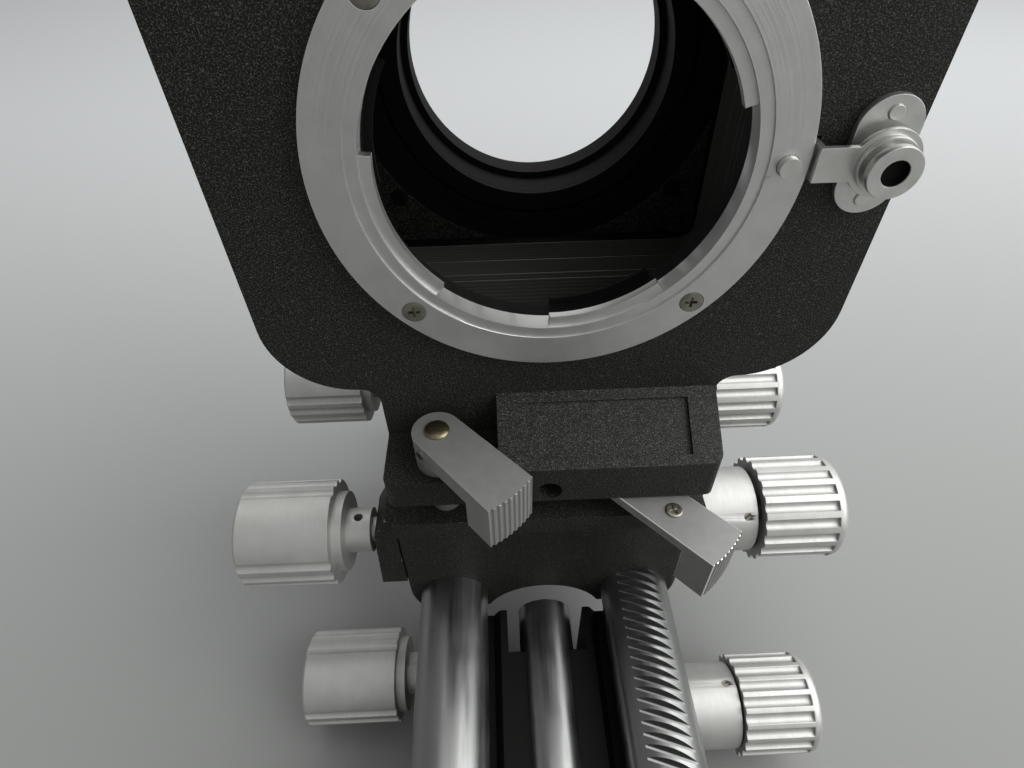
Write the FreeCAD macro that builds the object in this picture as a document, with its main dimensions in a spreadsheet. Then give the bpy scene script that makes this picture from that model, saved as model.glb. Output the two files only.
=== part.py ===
import FreeCAD, Part
import math
import os
import re
import Sketcher

# Macro bellows unit: two standards that slide on a pair of chromed rails, a bellows
# between them, and a tripod stage that drives the whole frame fore and aft.
# Frame: +X to the right seen from the lens side, +Y from the lens to the camera, +Z up.
# The origin is the mouth of the tripod socket, at the underside of the foot.

Vector = FreeCAD.Vector
Rotation = FreeCAD.Rotation

# ---------------------------------------------------------------------------------------
# Driving dimensions, in millimetres and degrees
# ---------------------------------------------------------------------------------------

SIZES = [
    ("running_gap", 0.05, "radial clearance of a sliding or turning fit"),
    ("face_gap", 0.3, "clearance between faces that pass each other"),
    ("rail_spacing", 39.5, "distance between the two rail axes"),
    ("rail_diameter", 14.5, "chromed guide rails"),
    ("rail_height", 32.5, "rail axes above the underside of the foot"),
    ("rail_rear", 108, "outer face of the rear end plate"),
    ("rail_length", 236, "frame from end plate to end plate"),
    ("end_plate_thickness", 8, "front and rear end plates"),
    ("end_plate_wall", 3, "wall between a rail's end and the outer face"),
    ("end_plate_margin", 2.5, "end plates outside the rails"),
    ("end_plate_rise", 10, "top of the end plates above the rail axes"),
    ("end_plate_drop", 17, "underside of the end plates below the rail axes"),
    ("end_plate_corner", 7, "corner radius of the end plates"),
    ("rod_diameter", 11.6, "centre rod that the stage runs on"),
    ("rod_drop", 7.5, "axis of the centre rod below the rail axes"),
    ("rod_rear", 25.5, "free rear end of the centre rod"),
    ("end_screw_radius", 1.7, "shanks of the screws in the rail ends"),
    ("end_screw_head", 3.4, "heads of the screws in the rail ends"),
    ("end_screw_length", 12, "screws in the rail ends"),
    ("gear_module", 0.625, "all racks and pinions"),
    ("gear_backlash", 0.16, "play between teeth at the pitch line"),
    ("rack_slant", 12, "slant of the rack teeth, in degrees"),
    ("focus_teeth", 23, "teeth of the two standard pinions"),
    ("stage_teeth", 18, "teeth of the stage pinion"),
    ("pinion_width", 9, "toothed length of the standard pinions"),
    ("rack_margin", 3, "plain rail between the rack and each end plate"),
    ("shaft_radius", 3, "pinion shafts"),
    ("bush_radius", 4.5, "outside of the bronze bushes"),
    ("sleeve_radius", 9, "bearing sleeves beside the drive knobs"),
    ("sleeve_spigot", 8.6, "part of the sleeve inside the casting"),
    ("sleeve_setback", 0.8, "sleeve beyond the end of the pinion"),
    ("knob_radius", 10.9, "drive knobs of the standards"),
    ("lock_knob_radius", 10.5, "lock knobs of the standards"),
    ("stage_knob_radius", 10.05, "both knobs of the stage"),
    ("knob_length", 17.2, "drive knobs of the standards"),
    ("lock_knob_length", 18.2, "lock knobs of the standards"),
    ("stage_lock_length", 20.2, "lock knob of the stage"),
    ("knob_round", 1.8, "rounded outer edge of a drive knob"),
    ("knob_chamfer", 0.5, "outer edge of a lock knob"),
    ("knob_rim", 2.2, "plain rim of a drive knob beyond its flutes"),
    ("knob_recess", 2.2, "recess in the back of a knob"),
    ("knob_recess_radius", 8.2, "recess in the back of a knob"),
    ("knob_face", 3, "wall between the shaft's end and the outer face"),
    ("flute_count", 20, "flutes of a drive knob"),
    ("flute_radius", 1.15, "cutter that makes the flutes"),
    ("flute_depth", 0.75, "depth of a flute"),
    ("lock_rise", 18.5, "lock screw axis of both standards above the rail axes"),
    ("sleeve_length", 14.5, "bearing sleeve beyond the side of the carriage"),
    ("knob_gap", 1, "drive knob beyond its bearing sleeve"),
    ("lock_shank_radius", 4.5, "exposed shank of a lock screw"),
    ("lock_thread_radius", 2.5, "threaded part of a lock screw"),
    ("lock_step_radius", 8, "step behind a lock knob"),
    ("lock_step_length", 1.9, "step behind a lock knob"),
    ("lock_shank_length", 4.9, "exposed shank of a standard's lock screw"),
    ("tommy_hole_radius", 0.9, "cross hole in a lock shank"),
    ("shoe_radius", 2.4, "brass shoes that press on a rail"),
    ("carriage_wall", 2.5, "both carriages outside the rails"),
    ("carriage_depth", 22, "both carriages, along the rails"),
    ("carriage_rise", 32.5, "top of both carriages above the rail axes"),
    ("carriage_drop", 5.8, "lower edge of both carriages below the rail axes"),
    ("lip_inset", 2.5, "lower edge of the carriages inside their sides"),
    ("carriage_turn", 0.5, "height where the sides turn in, above the rail axes"),
    ("carriage_round", 1.5, "rounded upright edges of a carriage"),
    ("arch_radius", 13.4, "arch under a carriage, between the rails"),
    ("arch_drop", 11.5, "centre of the arch below the rail axes"),
    ("front_carriage_face", 27, "front face of the front carriage"),
    ("front_drive_offset", 10, "pinion axis behind the front face"),
    ("front_lock_offset", 5.4, "lock axis behind the front face"),
    ("rear_carriage_face", 63.5, "front face of the rear carriage"),
    ("rear_drive_offset", 11, "pinion axis behind the front face"),
    ("rear_lock_offset", 13.6, "lock axis behind the front face"),
    ("boss_half_depth", 5, "clamp block, along the rails"),
    ("boss_length", 5.3, "clamp block beyond the side of the carriage"),
    ("boss_rise", 10, "top of the clamp block above the lock screw axis"),
    ("boss_drop", 13, "underside of the clamp block below the lock screw axis"),
    ("shift_half_width", 27.5, "shift plate"),
    ("shift_front", 21, "front face of the shift plate"),
    ("shift_rear", 49, "rear face of the shift plate"),
    ("shift_gap", 0.2, "shift plate above the carriage"),
    ("shift_thickness", 4.2, "shift plate"),
    ("keel_half_length", 17.5, "dovetail keel, across the rails"),
    ("keel_half_neck", 5.5, "dovetail keel at its top"),
    ("keel_half_base", 7.5, "dovetail keel at its bottom"),
    ("keel_depth", 4, "dovetail keel below the shift plate"),
    ("swing_centre", 37, "swing axis, along the rails"),
    ("swing_boss_radius", 8.5, "turntable boss"),
    ("swing_stud_radius", 4, "stud of the head"),
    ("swing_washer_radius", 5, "head of the swing screw"),
    ("head_half_width", 27.4, "block at the foot of the head"),
    ("turntable_height", 5.4, "underside of the head above the shift plate"),
    ("head_front", 21, "front face of the head's block"),
    ("head_rear", 47, "rear face of the head's block"),
    ("brow_share", 0.54, "height of the block's front face, of the height at the plate"),
    ("slope_drop", 38, "top of the sloping face below the optical axis"),
    ("ledge_drop", 2, "ledge under the clamp lever below the brow"),
    ("ledge_side", -8.6, "right side of the ledge"),
    ("plate_overhang", 15.6, "front plate beyond the sides of its block"),
    ("plate_drop", 36, "lower edge of both plates below the optical axis"),
    ("plate_rise", 42, "upper edge of the front plate above the optical axis"),
    ("plate_front", 31.8, "front face of the front plate"),
    ("plate_thickness", 5, "front plate"),
    ("plate_corner", 12.5, "corner radius of the front plate"),
    ("neck_fillet", 3.2, "fillet between the plate and its block"),
    ("badge_left", -3.4, "bare badge recess"),
    ("badge_width", 26, "bare badge recess"),
    ("badge_height", 9.4, "bare badge recess, along the slope"),
    ("badge_inset", 1.7, "badge recess above the brow, along the slope"),
    ("badge_recess", 0.6, "depth of the badge recess"),
    ("lens_rise", 53.2, "optical axis above the underside of the head"),
    ("block_rear_drop", 42, "rear top edge of the head's block below the optical axis"),
    ("lens_face", 30, "front face of the lens mount"),
    ("lens_ring_radius", 30, "lens mount flange"),
    ("lens_ring_skirt", 26, "skirt of the lens mount in the plate"),
    ("lens_opening", 23.5, "lens mount opening"),
    ("lens_throat", 22, "inner edge of the bayonet lips"),
    ("lip_setback", 0.9, "bayonet lips behind the lens face"),
    ("lip_thickness", 1.2, "bayonet lips"),
    ("mount_screw_circle", 27.6, "circle of the four lens mount screws"),
    ("mount_screw_radius", 1.7, "heads of the lens mount screws"),
    ("mount_screw_shank", 0.9, "shanks of the lens mount screws"),
    ("pin_distance", 27.4, "lens lock pin from the optical axis"),
    ("pin_radius", 1.3, "lens lock pin"),
    ("pin_height", 1, "lens lock pin above the mount's face"),
    ("pin_rise", 0.3, "lens lock pin above the optical axis"),
    ("release_side", 38.5, "release button, from the optical axis"),
    ("release_rise", 0.6, "release button above the optical axis"),
    ("release_plate_half", 3.9, "half width of the oval release plate"),
    ("release_plate_span", 3.45, "centre to centre half length of the oval"),
    ("release_plate_thickness", 1, "oval release plate"),
    ("release_travel", 1, "stroke of the lens release"),
    ("release_stem", 1.8, "stem of the release button"),
    ("release_neck", 2.3, "waist of the release button"),
    ("release_cap", 3.2, "front flange of the release button"),
    ("cap_thickness", 1.1, "front flange of the release button"),
    ("neck_length", 0.8, "waist of the release button"),
    ("base_thickness", 0.7, "rear flange of the release button"),
    ("release_base", 3.5, "rear flange of the release button"),
    ("release_reach", 26.4, "front of the release button"),
    ("lock_bar_half", 2.15, "half width of the lock bar"),
    ("lock_eye_radius", 4.2, "eye of the lock bar behind the button"),
    ("lock_bar_thickness", 0.7, "lock bar"),
    ("lever_half_width", 4, "swing lever at its pivot"),
    ("lever_end_half", 4.4, "swing lever at its fluted end"),
    ("swing_lever_x", -18.2, "pivot of the swing lever"),
    ("swing_lever_y", 26, "pivot of the swing lever"),
    ("swing_lever_angle", -48.5, "swing lever at rest"),
    ("swing_lever_length", 17.6, "pivot to the fluted end"),
    ("swing_lever_rise", 7, "top face of the swing lever above its ledge"),
    ("swing_lever_thickness", 3.5, "arm of the swing lever"),
    ("lever_grip_depth", 6, "fluted end, along the lever"),
    ("swing_grip_height", 9.4, "fluted end of the swing lever"),
    ("shift_lever_x", 10.9, "pivot of the shift lever"),
    ("shift_lever_y", 28, "pivot of the shift lever"),
    ("shift_lever_gap", 0.4, "shift lever below the head"),
    ("shift_lever_thickness", 2.1, "arm of the shift lever"),
    ("shift_grip_height", 10.2, "fluted end of the shift lever"),
    ("shift_lever_half_width", 4.1, "shift lever at its pivot"),
    ("shift_lever_end_half", 4.3, "shift lever at its fluted end"),
    ("shift_lever_angle", -46.5, "shift lever at rest"),
    ("shift_lever_length", 24, "pivot to the fluted end"),
    ("frame_half", 37, "outside of the bellows frames"),
    ("frame_opening", 30, "inside of the bellows frames"),
    ("frame_thickness", 3, "bellows frames"),
    ("bellows_half", 36, "outside of the bellows"),
    ("bellows_wall", 7, "depth of a bellows pleat"),
    ("rear_plate_half", 41, "rear plate"),
    ("rear_plate_front", 66.5, "front face of the rear plate"),
    ("rear_plate_thickness", 5, "rear plate"),
    ("rear_plate_rise", 40, "upper edge of the rear plate above the optical axis"),
    ("rear_hole", 31, "hole in the rear plate"),
    ("rear_foot_half", 27, "foot of the rear plate"),
    ("baffle_throat", 24.5, "smallest ring of the light baffle"),
    ("baffle_step", 2, "each ring of the light baffle is this much wider"),
    ("camera_ring_radius", 29, "camera mount flange"),
    ("camera_ring_thickness", 5, "camera mount flange"),
    ("camera_tube_radius", 21.9, "bayonet tube of the camera mount"),
    ("camera_tube_bore", 21.35, "inside of the bayonet tube"),
    ("camera_tube_length", 3.4, "bayonet tube behind the flange"),
    ("camera_lug_radius", 23.4, "bayonet lugs of the camera mount"),
    ("camera_hub_bore", 22.5, "inside of the turning hub"),
    ("camera_hub_lip", 26, "lip that holds the turning hub"),
    ("block_half_width", 23, "stage block"),
    ("block_rear", 24.5, "rear face of the stage block"),
    ("block_length", 56, "stage block"),
    ("block_base", 6, "underside of the stage block"),
    ("block_drop", 6.4, "top of the stage block below the rail axes"),
    ("tongue_drop", 4, "tongue around the centre rod, below the rail axes"),
    ("tongue_radius", 12.4, "round shoulders of the tongue"),
    ("notch_half_width", 8.4, "notch in the rear of the block"),
    ("notch_depth", 9.5, "notch in the rear of the block"),
    ("stage_drive_y", 7.5, "stage pinion axis, along the rails"),
    ("stage_sleeve_radius", 8.6, "bearing sleeve of the stage"),
    ("stage_knob_start", 40.2, "inner end of the stage drive knob"),
    ("stage_knob_length", 16.2, "stage drive knob"),
    ("stage_lock_y", 18, "stage lock screw, along the rails"),
    ("stage_lock_z", 12.5, "stage lock screw"),
    ("stage_lock_start", 33.5, "inner end of the stage lock knob"),
    ("foot_base", 1, "underside of the foot plate"),
    ("foot_half_width", 22, "foot plate"),
    ("foot_corner", 5, "corner radius of the foot plate"),
    ("pad_half_width", 20.5, "rubber pad under the foot"),
    ("pad_margin", 1.5, "foot plate beyond the pad's ends"),
    ("bush_outer", 5.5, "tripod bush"),
    ("socket_radius", 2.55, "core of the quarter inch tripod thread"),
    ("foot_screw_x", 14.5, "foot screws from the centre line"),
    ("foot_screw_inset", 4.5, "foot screws from the block's ends"),
    ("foot_screw_radius", 1.5, "shanks of the foot screws"),
    ("foot_screw_head", 2.8, "heads of the foot screws"),
    ("skirt_length", 4.2, "skirt of the lens mount behind the plate's face"),
    ("mount_screw_depth", 1, "heads of the lens mount screws"),
    ("mount_screw_bite", 4, "lens mount screws in the plate"),
    ("bar_reach", 25.6, "inner end of the lock bar"),
    ("bar_riser", 30.3, "upright part of the lock bar"),
    ("bar_front", 31.2, "front face of the lock bar's inner part"),
    ("bar_rear", 32, "rear face of the lock bar's inner part"),
    ("spring_bore", 3.4, "bore behind the release button"),
    ("release_floor", 0.8, "wall behind the release spring"),
    ("release_collar", 3.1, "collar on the stem of the release button"),
    ("collar_thickness", 0.7, "collar on the stem of the release button"),
    ("release_dimple", 1.6, "hole in the front of the release button"),
    ("release_rivet_radius", 0.9, "rivets of the release plate"),
    ("release_rivet_span", 5.35, "rivets above and below the release button"),
    ("swing_screw_radius", 2, "shank of the swing screw"),
    ("swing_screw_bite", 5, "swing screw above the head's underside"),
    ("set_hole_radius", 2.1, "set screw hole in the head's face"),
    ("set_hole_x", -0.4, "set screw hole in the head's face"),
    ("set_hole_rise", 2.7, "set screw hole above the underside of the head"),
    ("frame_screw_spot", 33.5, "frame screws from the optical axis, both ways"),
    ("frame_screw_radius", 0.9, "shanks of the frame screws"),
    ("frame_screw_head", 1.7, "heads of the frame screws"),
    ("frame_screw_sink", 0.9, "heads of the frame screws"),
    ("frame_screw_bite", 3, "frame screws in the plates"),
    ("rear_screw_x", 5, "rear plate screws from the centre line"),
    ("rear_screw_seat", 4, "seat of the rear plate screws below the carriage's top"),
    ("rear_screw_head", 2.5, "heads of the rear plate screws"),
    ("rear_screw_bite", 10, "rear plate screws in the plate"),
    ("camera_lug_thickness", 1.4, "bayonet lugs of the camera mount"),
    ("camera_lug_sweep", 50, "each bayonet lug, in degrees"),
    ("spring_sweep", 38, "each bayonet spring, in degrees"),
    ("retainer_thickness", 1.1, "ring that keeps the camera mount in place"),
    ("stage_spigot", 7.4, "stage bearings inside the block"),
    ("foot_screw_bite", 4.4, "foot screws in the block"),
    ("foot_screw_sink", 1.6, "heads of the foot screws"),
]

doc = FreeCAD.newDocument("macro_bellows")
sheet = doc.addObject("Spreadsheet::Sheet", "Dims")
for row, (alias, amount, meaning) in enumerate(SIZES, start=1):
    sheet.set("A%d" % row, alias)
    sheet.set("B%d" % row, str(amount))
    sheet.set("C%d" % row, meaning)
    sheet.setAlias("B%d" % row, alias)
doc.recompute()

# ---------------------------------------------------------------------------------------
# Binding sizes to the sheet
# ---------------------------------------------------------------------------------------

ALIASES = {alias for alias, amount, meaning in SIZES}

# Heights and lengths that follow from the sizes above
FOLLOWING = {
    "rail_front": "(rail_rear - rail_length)",
    "end_plate_half_width": "(rail_spacing / 2 + rail_diameter / 2 + end_plate_margin)",
    "end_plate_top": "(rail_height + end_plate_rise)",
    "end_plate_base": "(rail_height - end_plate_drop)",
    "rod_height": "(rail_height - rod_drop)",
    "drive_height": "(rail_height + rail_diameter / 2 - gear_module + gear_module * focus_teeth / 2)",
    "lock_height": "(rail_height + lock_rise)",
    "carriage_half_width": "(rail_spacing / 2 + rail_diameter / 2 + carriage_wall)",
    "carriage_lip_half": "(carriage_half_width - lip_inset)",
    "boss_reach": "(carriage_half_width + boss_length)",
    "drive_sleeve_end": "(carriage_half_width + sleeve_length)",
    "plate_half_width": "(head_half_width + plate_overhang)",
    "carriage_top": "(rail_height + carriage_rise)",
    "carriage_lip": "(rail_height - carriage_drop)",
    "carriage_shoulder": "(rail_height + carriage_turn)",
    "arch_height": "(rail_height - arch_drop)",
    "boss_top": "(lock_height + boss_rise)",
    "boss_base": "(lock_height - boss_drop)",
    "shift_base": "(carriage_top + shift_gap)",
    "shift_top": "(shift_base + shift_thickness)",
    "head_base": "(shift_top + turntable_height)",
    "lens_height": "(head_base + lens_rise)",
    "head_slope_top": "(lens_height - slope_drop)",
    "head_brow": "(head_base + brow_share * (head_slope_top - head_base))",
    "head_rear_top": "(lens_height - block_rear_drop)",
    "ledge_height": "(head_brow - ledge_drop)",
    "set_hole_z": "(head_base + set_hole_rise)",
    "swing_lever_top": "(ledge_height + swing_lever_rise)",
    "shift_lever_top": "(head_base - shift_lever_gap)",
    "plate_base": "(lens_height - plate_drop)",
    "plate_top": "(lens_height + plate_rise)",
    "rear_plate_top": "(lens_height + rear_plate_rise)",
    "block_top": "(rail_height - block_drop)",
    "tongue_top": "(rail_height - tongue_drop)",
}
probe = doc.addObject("App::FeaturePython", "probe")
probe.addProperty("App::PropertyFloat", "Amount")


def pointed(word):
    if word[0] in FOLLOWING:
        return bound(FOLLOWING[word[0]])
    return "Dims." + word[0] if word[0] in ALIASES else word[0]


def bound(text):
    """An expression in which each size's name points at its cell."""
    return re.sub(r"[a-z_]+", pointed, str(text))


def bind(thing, target, text):
    thing.setExpression(target, bound(text))


def number(text):
    """The present value of an expression."""
    bind(probe, "Amount", text)
    probe.recompute()
    return probe.Amount


def seat(thing, x, y, z):
    for axis, text in (("x", x), ("y", y), ("z", z)):
        bind(thing, "Placement.Base." + axis, text)
    return thing


# ---------------------------------------------------------------------------------------
# Solids made from bound primitives
# ---------------------------------------------------------------------------------------

TURN = {
    "x": Rotation(Vector(0, 1, 0), 90),
    "y": Rotation(Vector(1, 0, 0), -90),
    "z": Rotation(),
}
serial = 0


def fresh(kind):
    global serial
    serial += 1
    return doc.addObject(kind, "piece_%03d" % serial)


def lay(thing, axis, start, across, up):
    """Points a round solid along an axis; across and up are its place in X, Y, Z order."""
    thing.Placement.Rotation = TURN[axis]
    spots = {"x": (start, across, up), "y": (across, start, up), "z": (across, up, start)}
    return seat(thing, *spots[axis])


def rod(axis, radius, start, end, across, up):
    thing = fresh("Part::Cylinder")
    bind(thing, "Radius", radius)
    bind(thing, "Height", "(%s) - (%s)" % (end, start))
    return lay(thing, axis, start, across, up)


def cone(axis, radius_start, radius_end, start, end, across, up):
    thing = fresh("Part::Cone")
    bind(thing, "Radius1", radius_start)
    bind(thing, "Radius2", radius_end)
    bind(thing, "Height", "(%s) - (%s)" % (end, start))
    return lay(thing, axis, start, across, up)


def box(x_low, x_high, y_low, y_high, z_low, z_high):
    thing = fresh("Part::Box")
    bind(thing, "Length", "(%s) - (%s)" % (x_high, x_low))
    bind(thing, "Width", "(%s) - (%s)" % (y_high, y_low))
    bind(thing, "Height", "(%s) - (%s)" % (z_high, z_low))
    return seat(thing, x_low, y_low, z_low)


def cut(base, *tools):
    for tool in tools:
        result = fresh("Part::Cut")
        result.Base = base
        result.Tool = tool
        base = result
    return base


def fuse(*shapes):
    result = fresh("Part::MultiFuse")
    result.Shapes = list(shapes)
    result.Refine = True
    return result


def common(first, second):
    result = fresh("Part::Common")
    result.Base = first
    result.Tool = second
    return result


def tube(axis, outer, inner, start, end, across, up):
    hollow = rod(axis, inner, "(%s) - 1" % start, "(%s) + 1" % end, across, up)
    return cut(rod(axis, outer, start, end, across, up), hollow)


# ---------------------------------------------------------------------------------------
# Solids made from bound sketches
# ---------------------------------------------------------------------------------------

NORMAL = {"XY_Plane": 1, "XZ_Plane": -1, "YZ_Plane": 1}


def outline(body, plane, offset, corners):
    """A closed polygon, each corner dimensioned from the origin."""
    sketch = body.newObject("Sketcher::SketchObject", body.Name + "_sketch")
    support = [feature for feature in body.Origin.OriginFeatures if feature.Role == plane]
    sketch.AttachmentSupport = [(support[0], "")]
    sketch.MapMode = "FlatFace"
    bind(sketch, "AttachmentOffset.Base.z", "%d * (%s)" % (NORMAL[plane], offset))
    spots = [(number(x), number(y)) for x, y in corners]
    count = len(spots)
    for this, (x, y) in enumerate(spots):
        following = spots[(this + 1) % count]
        sketch.addGeometry(Part.LineSegment(Vector(x, y, 0), Vector(following[0], following[1], 0)), False)
    for this in range(count):
        sketch.addConstraint(Sketcher.Constraint("Coincident", this, 2, (this + 1) % count, 1))
    for this, (x, y) in enumerate(corners):
        for kind, text, amount in (("DistanceX", x, spots[this][0]), ("DistanceY", y, spots[this][1])):
            index = sketch.addConstraint(Sketcher.Constraint(kind, -1, 1, this, 1, amount))
            bind(sketch, "Constraints[%d]" % index, text)
    return sketch


def circles(body, plane, offset, centres, radius):
    """Circles of one radius, each centre dimensioned from the origin."""
    sketch = outline(body, plane, offset, [])
    for this, (x, y) in enumerate(centres):
        spot = (number(x), number(y))
        sketch.addGeometry(Part.Circle(Vector(spot[0], spot[1], 0), Vector(0, 0, 1), number(radius)), False)
        for kind, text, amount in (("DistanceX", x, spot[0]), ("DistanceY", y, spot[1])):
            index = sketch.addConstraint(Sketcher.Constraint(kind, -1, 1, this, 3, amount))
            bind(sketch, "Constraints[%d]" % index, text)
        index = sketch.addConstraint(Sketcher.Constraint("Radius", this, number(radius)))
        bind(sketch, "Constraints[%d]" % index, radius)
    return sketch


def prism(plane, start, end, corners, body=None):
    """A polygon in a plane, padded from start to end along the plane's axis."""
    body = body or fresh("PartDesign::Body")
    sketch = outline(body, plane, start, corners)
    pad = body.newObject("PartDesign::Pad", body.Name + "_pad")
    pad.Profile = sketch
    pad.Reversed = NORMAL[plane] < 0
    bind(pad, "Length", "(%s) - (%s)" % (end, start))
    doc.recompute()
    return body


def rounded(body, radius, choose):
    """Rounds the straight edges of a body that choose(middle, direction) picks."""
    names = []
    sharp = body.Tip
    for index, edge in enumerate(sharp.Shape.Edges, start=1):
        if len(edge.Vertexes) == 2 and edge.Curve.TypeId == "Part::GeomLine":
            ends = [vertex.Point for vertex in edge.Vertexes]
            if choose((ends[0] + ends[1]) / 2, (ends[1] - ends[0]).normalize()):
                names.append("Edge%d" % index)
    fillet = body.newObject("PartDesign::Fillet", body.Name + "_round")
    fillet.Base = (sharp, names)
    bind(fillet, "Radius", radius)
    doc.recompute()
    return body


def along(direction, axis):
    return abs(getattr(direction, axis)) > 0.999


def named(thing, label):
    """Gives a finished sub-part its node name."""
    thing.Label = label
    nodes[label] = thing
    return thing


nodes = {}

# ---------------------------------------------------------------------------------------
# Places that several pieces share
# ---------------------------------------------------------------------------------------

rail_x = "rail_spacing / 2"
rail_radius = "rail_diameter / 2"
rail_top = "(rail_height + rail_diameter / 2)"
rod_radius = "rod_diameter / 2"
focus_radius = "(gear_module * focus_teeth / 2)"
stage_radius = "(gear_module * stage_teeth / 2)"
stage_drive_z = "(rod_height - rod_diameter / 2 + gear_module - gear_module * stage_teeth / 2)"
front_drive_y = "(front_carriage_face + front_drive_offset)"
front_lock_y = "(front_carriage_face + front_lock_offset)"
rear_drive_y = "(rear_carriage_face + rear_drive_offset)"
rear_lock_y = "(rear_carriage_face + rear_lock_offset)"
plate_rear = "(plate_front + plate_thickness)"
front_frame_rear = "(plate_front + plate_thickness + frame_thickness)"
rear_frame_front = "(rear_plate_front - frame_thickness)"
rear_plate_rear = "(rear_plate_front + rear_plate_thickness)"
release_x = "release_side"
release_z = "(lens_height + release_rise)"
sleeve_bore = "(shaft_radius + running_gap)"
pin_z = "(lens_height + pin_rise)"
skirt_end = "(plate_front + skirt_length)"
mount_head_end = "(lens_face + mount_screw_depth)"
screw_end = "(plate_front + mount_screw_bite)"
oval_front = "(plate_front - release_plate_thickness)"
button_floor = "(plate_front + plate_thickness - release_floor)"
swing_screw_top = "(head_base + swing_screw_bite)"
rear_seat = "(carriage_top - rear_screw_seat)"
rear_plate_middle = "(rear_plate_front + rear_plate_thickness / 2)"
chamber_half = "(pinion_width / 2 + 1.1)"
stage_bush_start = "(-pinion_width / 2 - 1.1 - stage_spigot)"
mount_screw_spots = [(side + "mount_screw_circle * cos(45)",
                      "lens_height %s mount_screw_circle * sin(45)" % sign)
                     for side in ("-", "") for sign in "+-"]
frame_screw_spots = [(side + "frame_screw_spot", "lens_height %s frame_screw_spot" % sign)
                     for side in ("-", "") for sign in "+-"]

# ---------------------------------------------------------------------------------------
# Racks and pinions
# ---------------------------------------------------------------------------------------

PRESSURE_ANGLE = math.radians(20)
ADDENDUM = 1.0
DEDENDUM = 1.25
TIP_CLEARANCE = 0.1


def gear_outline(teeth, phase):
    """Corners of an involute gear in the (y, z) plane, one tooth centred on phase."""
    module = number("gear_module")
    pitch = module * teeth / 2
    base = pitch * math.cos(PRESSURE_ANGLE)
    root = pitch - DEDENDUM * module
    tip = pitch + (ADDENDUM - TIP_CLEARANCE) * module
    middle = math.pi / (2 * teeth) - number("gear_backlash") / (2 * pitch)
    middle += math.tan(PRESSURE_ANGLE) - PRESSURE_ANGLE
    radii = [root] + [max(base, root) + (tip - max(base, root)) * step / 3 for step in range(4)]
    corners = []
    for tooth in range(teeth):
        centre = phase + 2 * math.pi * tooth / teeth
        flank = []
        for radius in radii:
            lean = math.acos(min(1.0, base / radius)) if radius > base else 0.0
            flank.append((radius, middle - (math.tan(lean) - lean)))
        for radius, half in flank:
            corners.append((radius, centre - half))
        for radius, half in reversed(flank):
            corners.append((radius, centre + half))
    return corners


def gear_solid(teeth, x_low, x_high, axis_y, axis_z, phase, twist):
    """A pinion along X whose outline turns by twist radians for each millimetre of X."""
    slices = 2
    wires = []
    for step in range(slices + 1):
        x = x_low + (x_high - x_low) * step / slices
        turn = phase + twist * (x - (x_low + x_high) / 2)
        points = []
        for radius, angle in gear_outline(teeth, turn):
            points.append(Vector(x, axis_y + radius * math.cos(angle), axis_z + radius * math.sin(angle)))
        wires.append(Part.makePolygon(points + points[:1]))
    return Part.makeLoft(wires, True, True)


def rack_gaps(pitch_z, up, y_low, y_high, y_reference, x_middle, half_width, slant):
    """The gaps of a rack as one compound; up is 1 where the teeth point up, else -1."""
    module = number("gear_module")
    pitch = math.pi * module
    rise = module * 1.6
    tilt = math.tan(PRESSURE_ANGLE)
    half = pitch / 4
    lean = -math.tan(math.radians(slant))
    gaps = []
    first = math.ceil((y_low - y_reference) / pitch)
    last = math.floor((y_high - y_reference) / pitch)
    for index in range(first, last + 1):
        y = y_reference + index * pitch - half_width * lean
        corners = []
        for side, depth in ((-1, rise), (1, rise), (1, -DEDENDUM * module), (-1, -DEDENDUM * module)):
            reach = half + depth * tilt
            corners.append(Vector(x_middle - half_width, y + side * reach, pitch_z + up * depth))
        face = Part.Face(Part.makePolygon(corners + corners[:1]))
        gaps.append(face.extrude(Vector(2 * half_width, 2 * half_width * lean, 0)))
    feature = fresh("Part::Feature")
    feature.Shape = Part.makeCompound(gaps)
    return feature


def nearest_gap(y, y_reference):
    pitch = math.pi * number("gear_module")
    return y_reference + round((y - y_reference) / pitch) * pitch - y


# ---------------------------------------------------------------------------------------
# Rail frame: two guide rails, the centre rod and the two end plates
# ---------------------------------------------------------------------------------------

rail_start = "(rail_front + end_plate_wall)"
rail_end = "(rail_rear - end_plate_wall)"
tapped_depth = "(end_screw_length - end_plate_wall + 2)"


def tapped_ends(x, z, both=True):
    """The threaded holes in the ends of a rail."""
    holes = [rod("y", "end_screw_radius", rail_start, "%s + %s" % (rail_start, tapped_depth), x, z)]
    if both:
        holes.append(rod("y", "end_screw_radius", "%s - %s" % (rail_end, tapped_depth), rail_end, x, z))
    return holes


left_blank = rod("y", rail_radius, rail_start, rail_end, "-" + rail_x, "rail_height")
named(cut(left_blank, *tapped_ends("-" + rail_x, "rail_height")), "left_rail")

rack_pitch_z = number(rail_top) - number("gear_module")
rack = rack_gaps(
    rack_pitch_z, 1,
    number("rail_front + end_plate_thickness + rack_margin"),
    number("rail_rear - end_plate_thickness - rack_margin"),
    number(front_drive_y), number(rail_x), number(rail_radius), number("rack_slant"))
right_blank = rod("y", rail_radius, rail_start, rail_end, rail_x, "rail_height")
named(cut(right_blank, rack, *tapped_ends(rail_x, "rail_height")), "right_rail")

rod_rack = rack_gaps(
    number("rod_height") - number(rod_radius) + number("gear_module"), -1,
    number("rail_front + end_plate_thickness + rack_margin"), number("rod_rear - rack_margin"),
    number("stage_drive_y"), 0, number(rod_radius), 0)
rod_blank = rod("y", rod_radius, rail_start, "rod_rear", "0", "rod_height")
named(cut(rod_blank, rod_rack, *tapped_ends("0", "rod_height", both=False)), "centre_rod")


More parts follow.
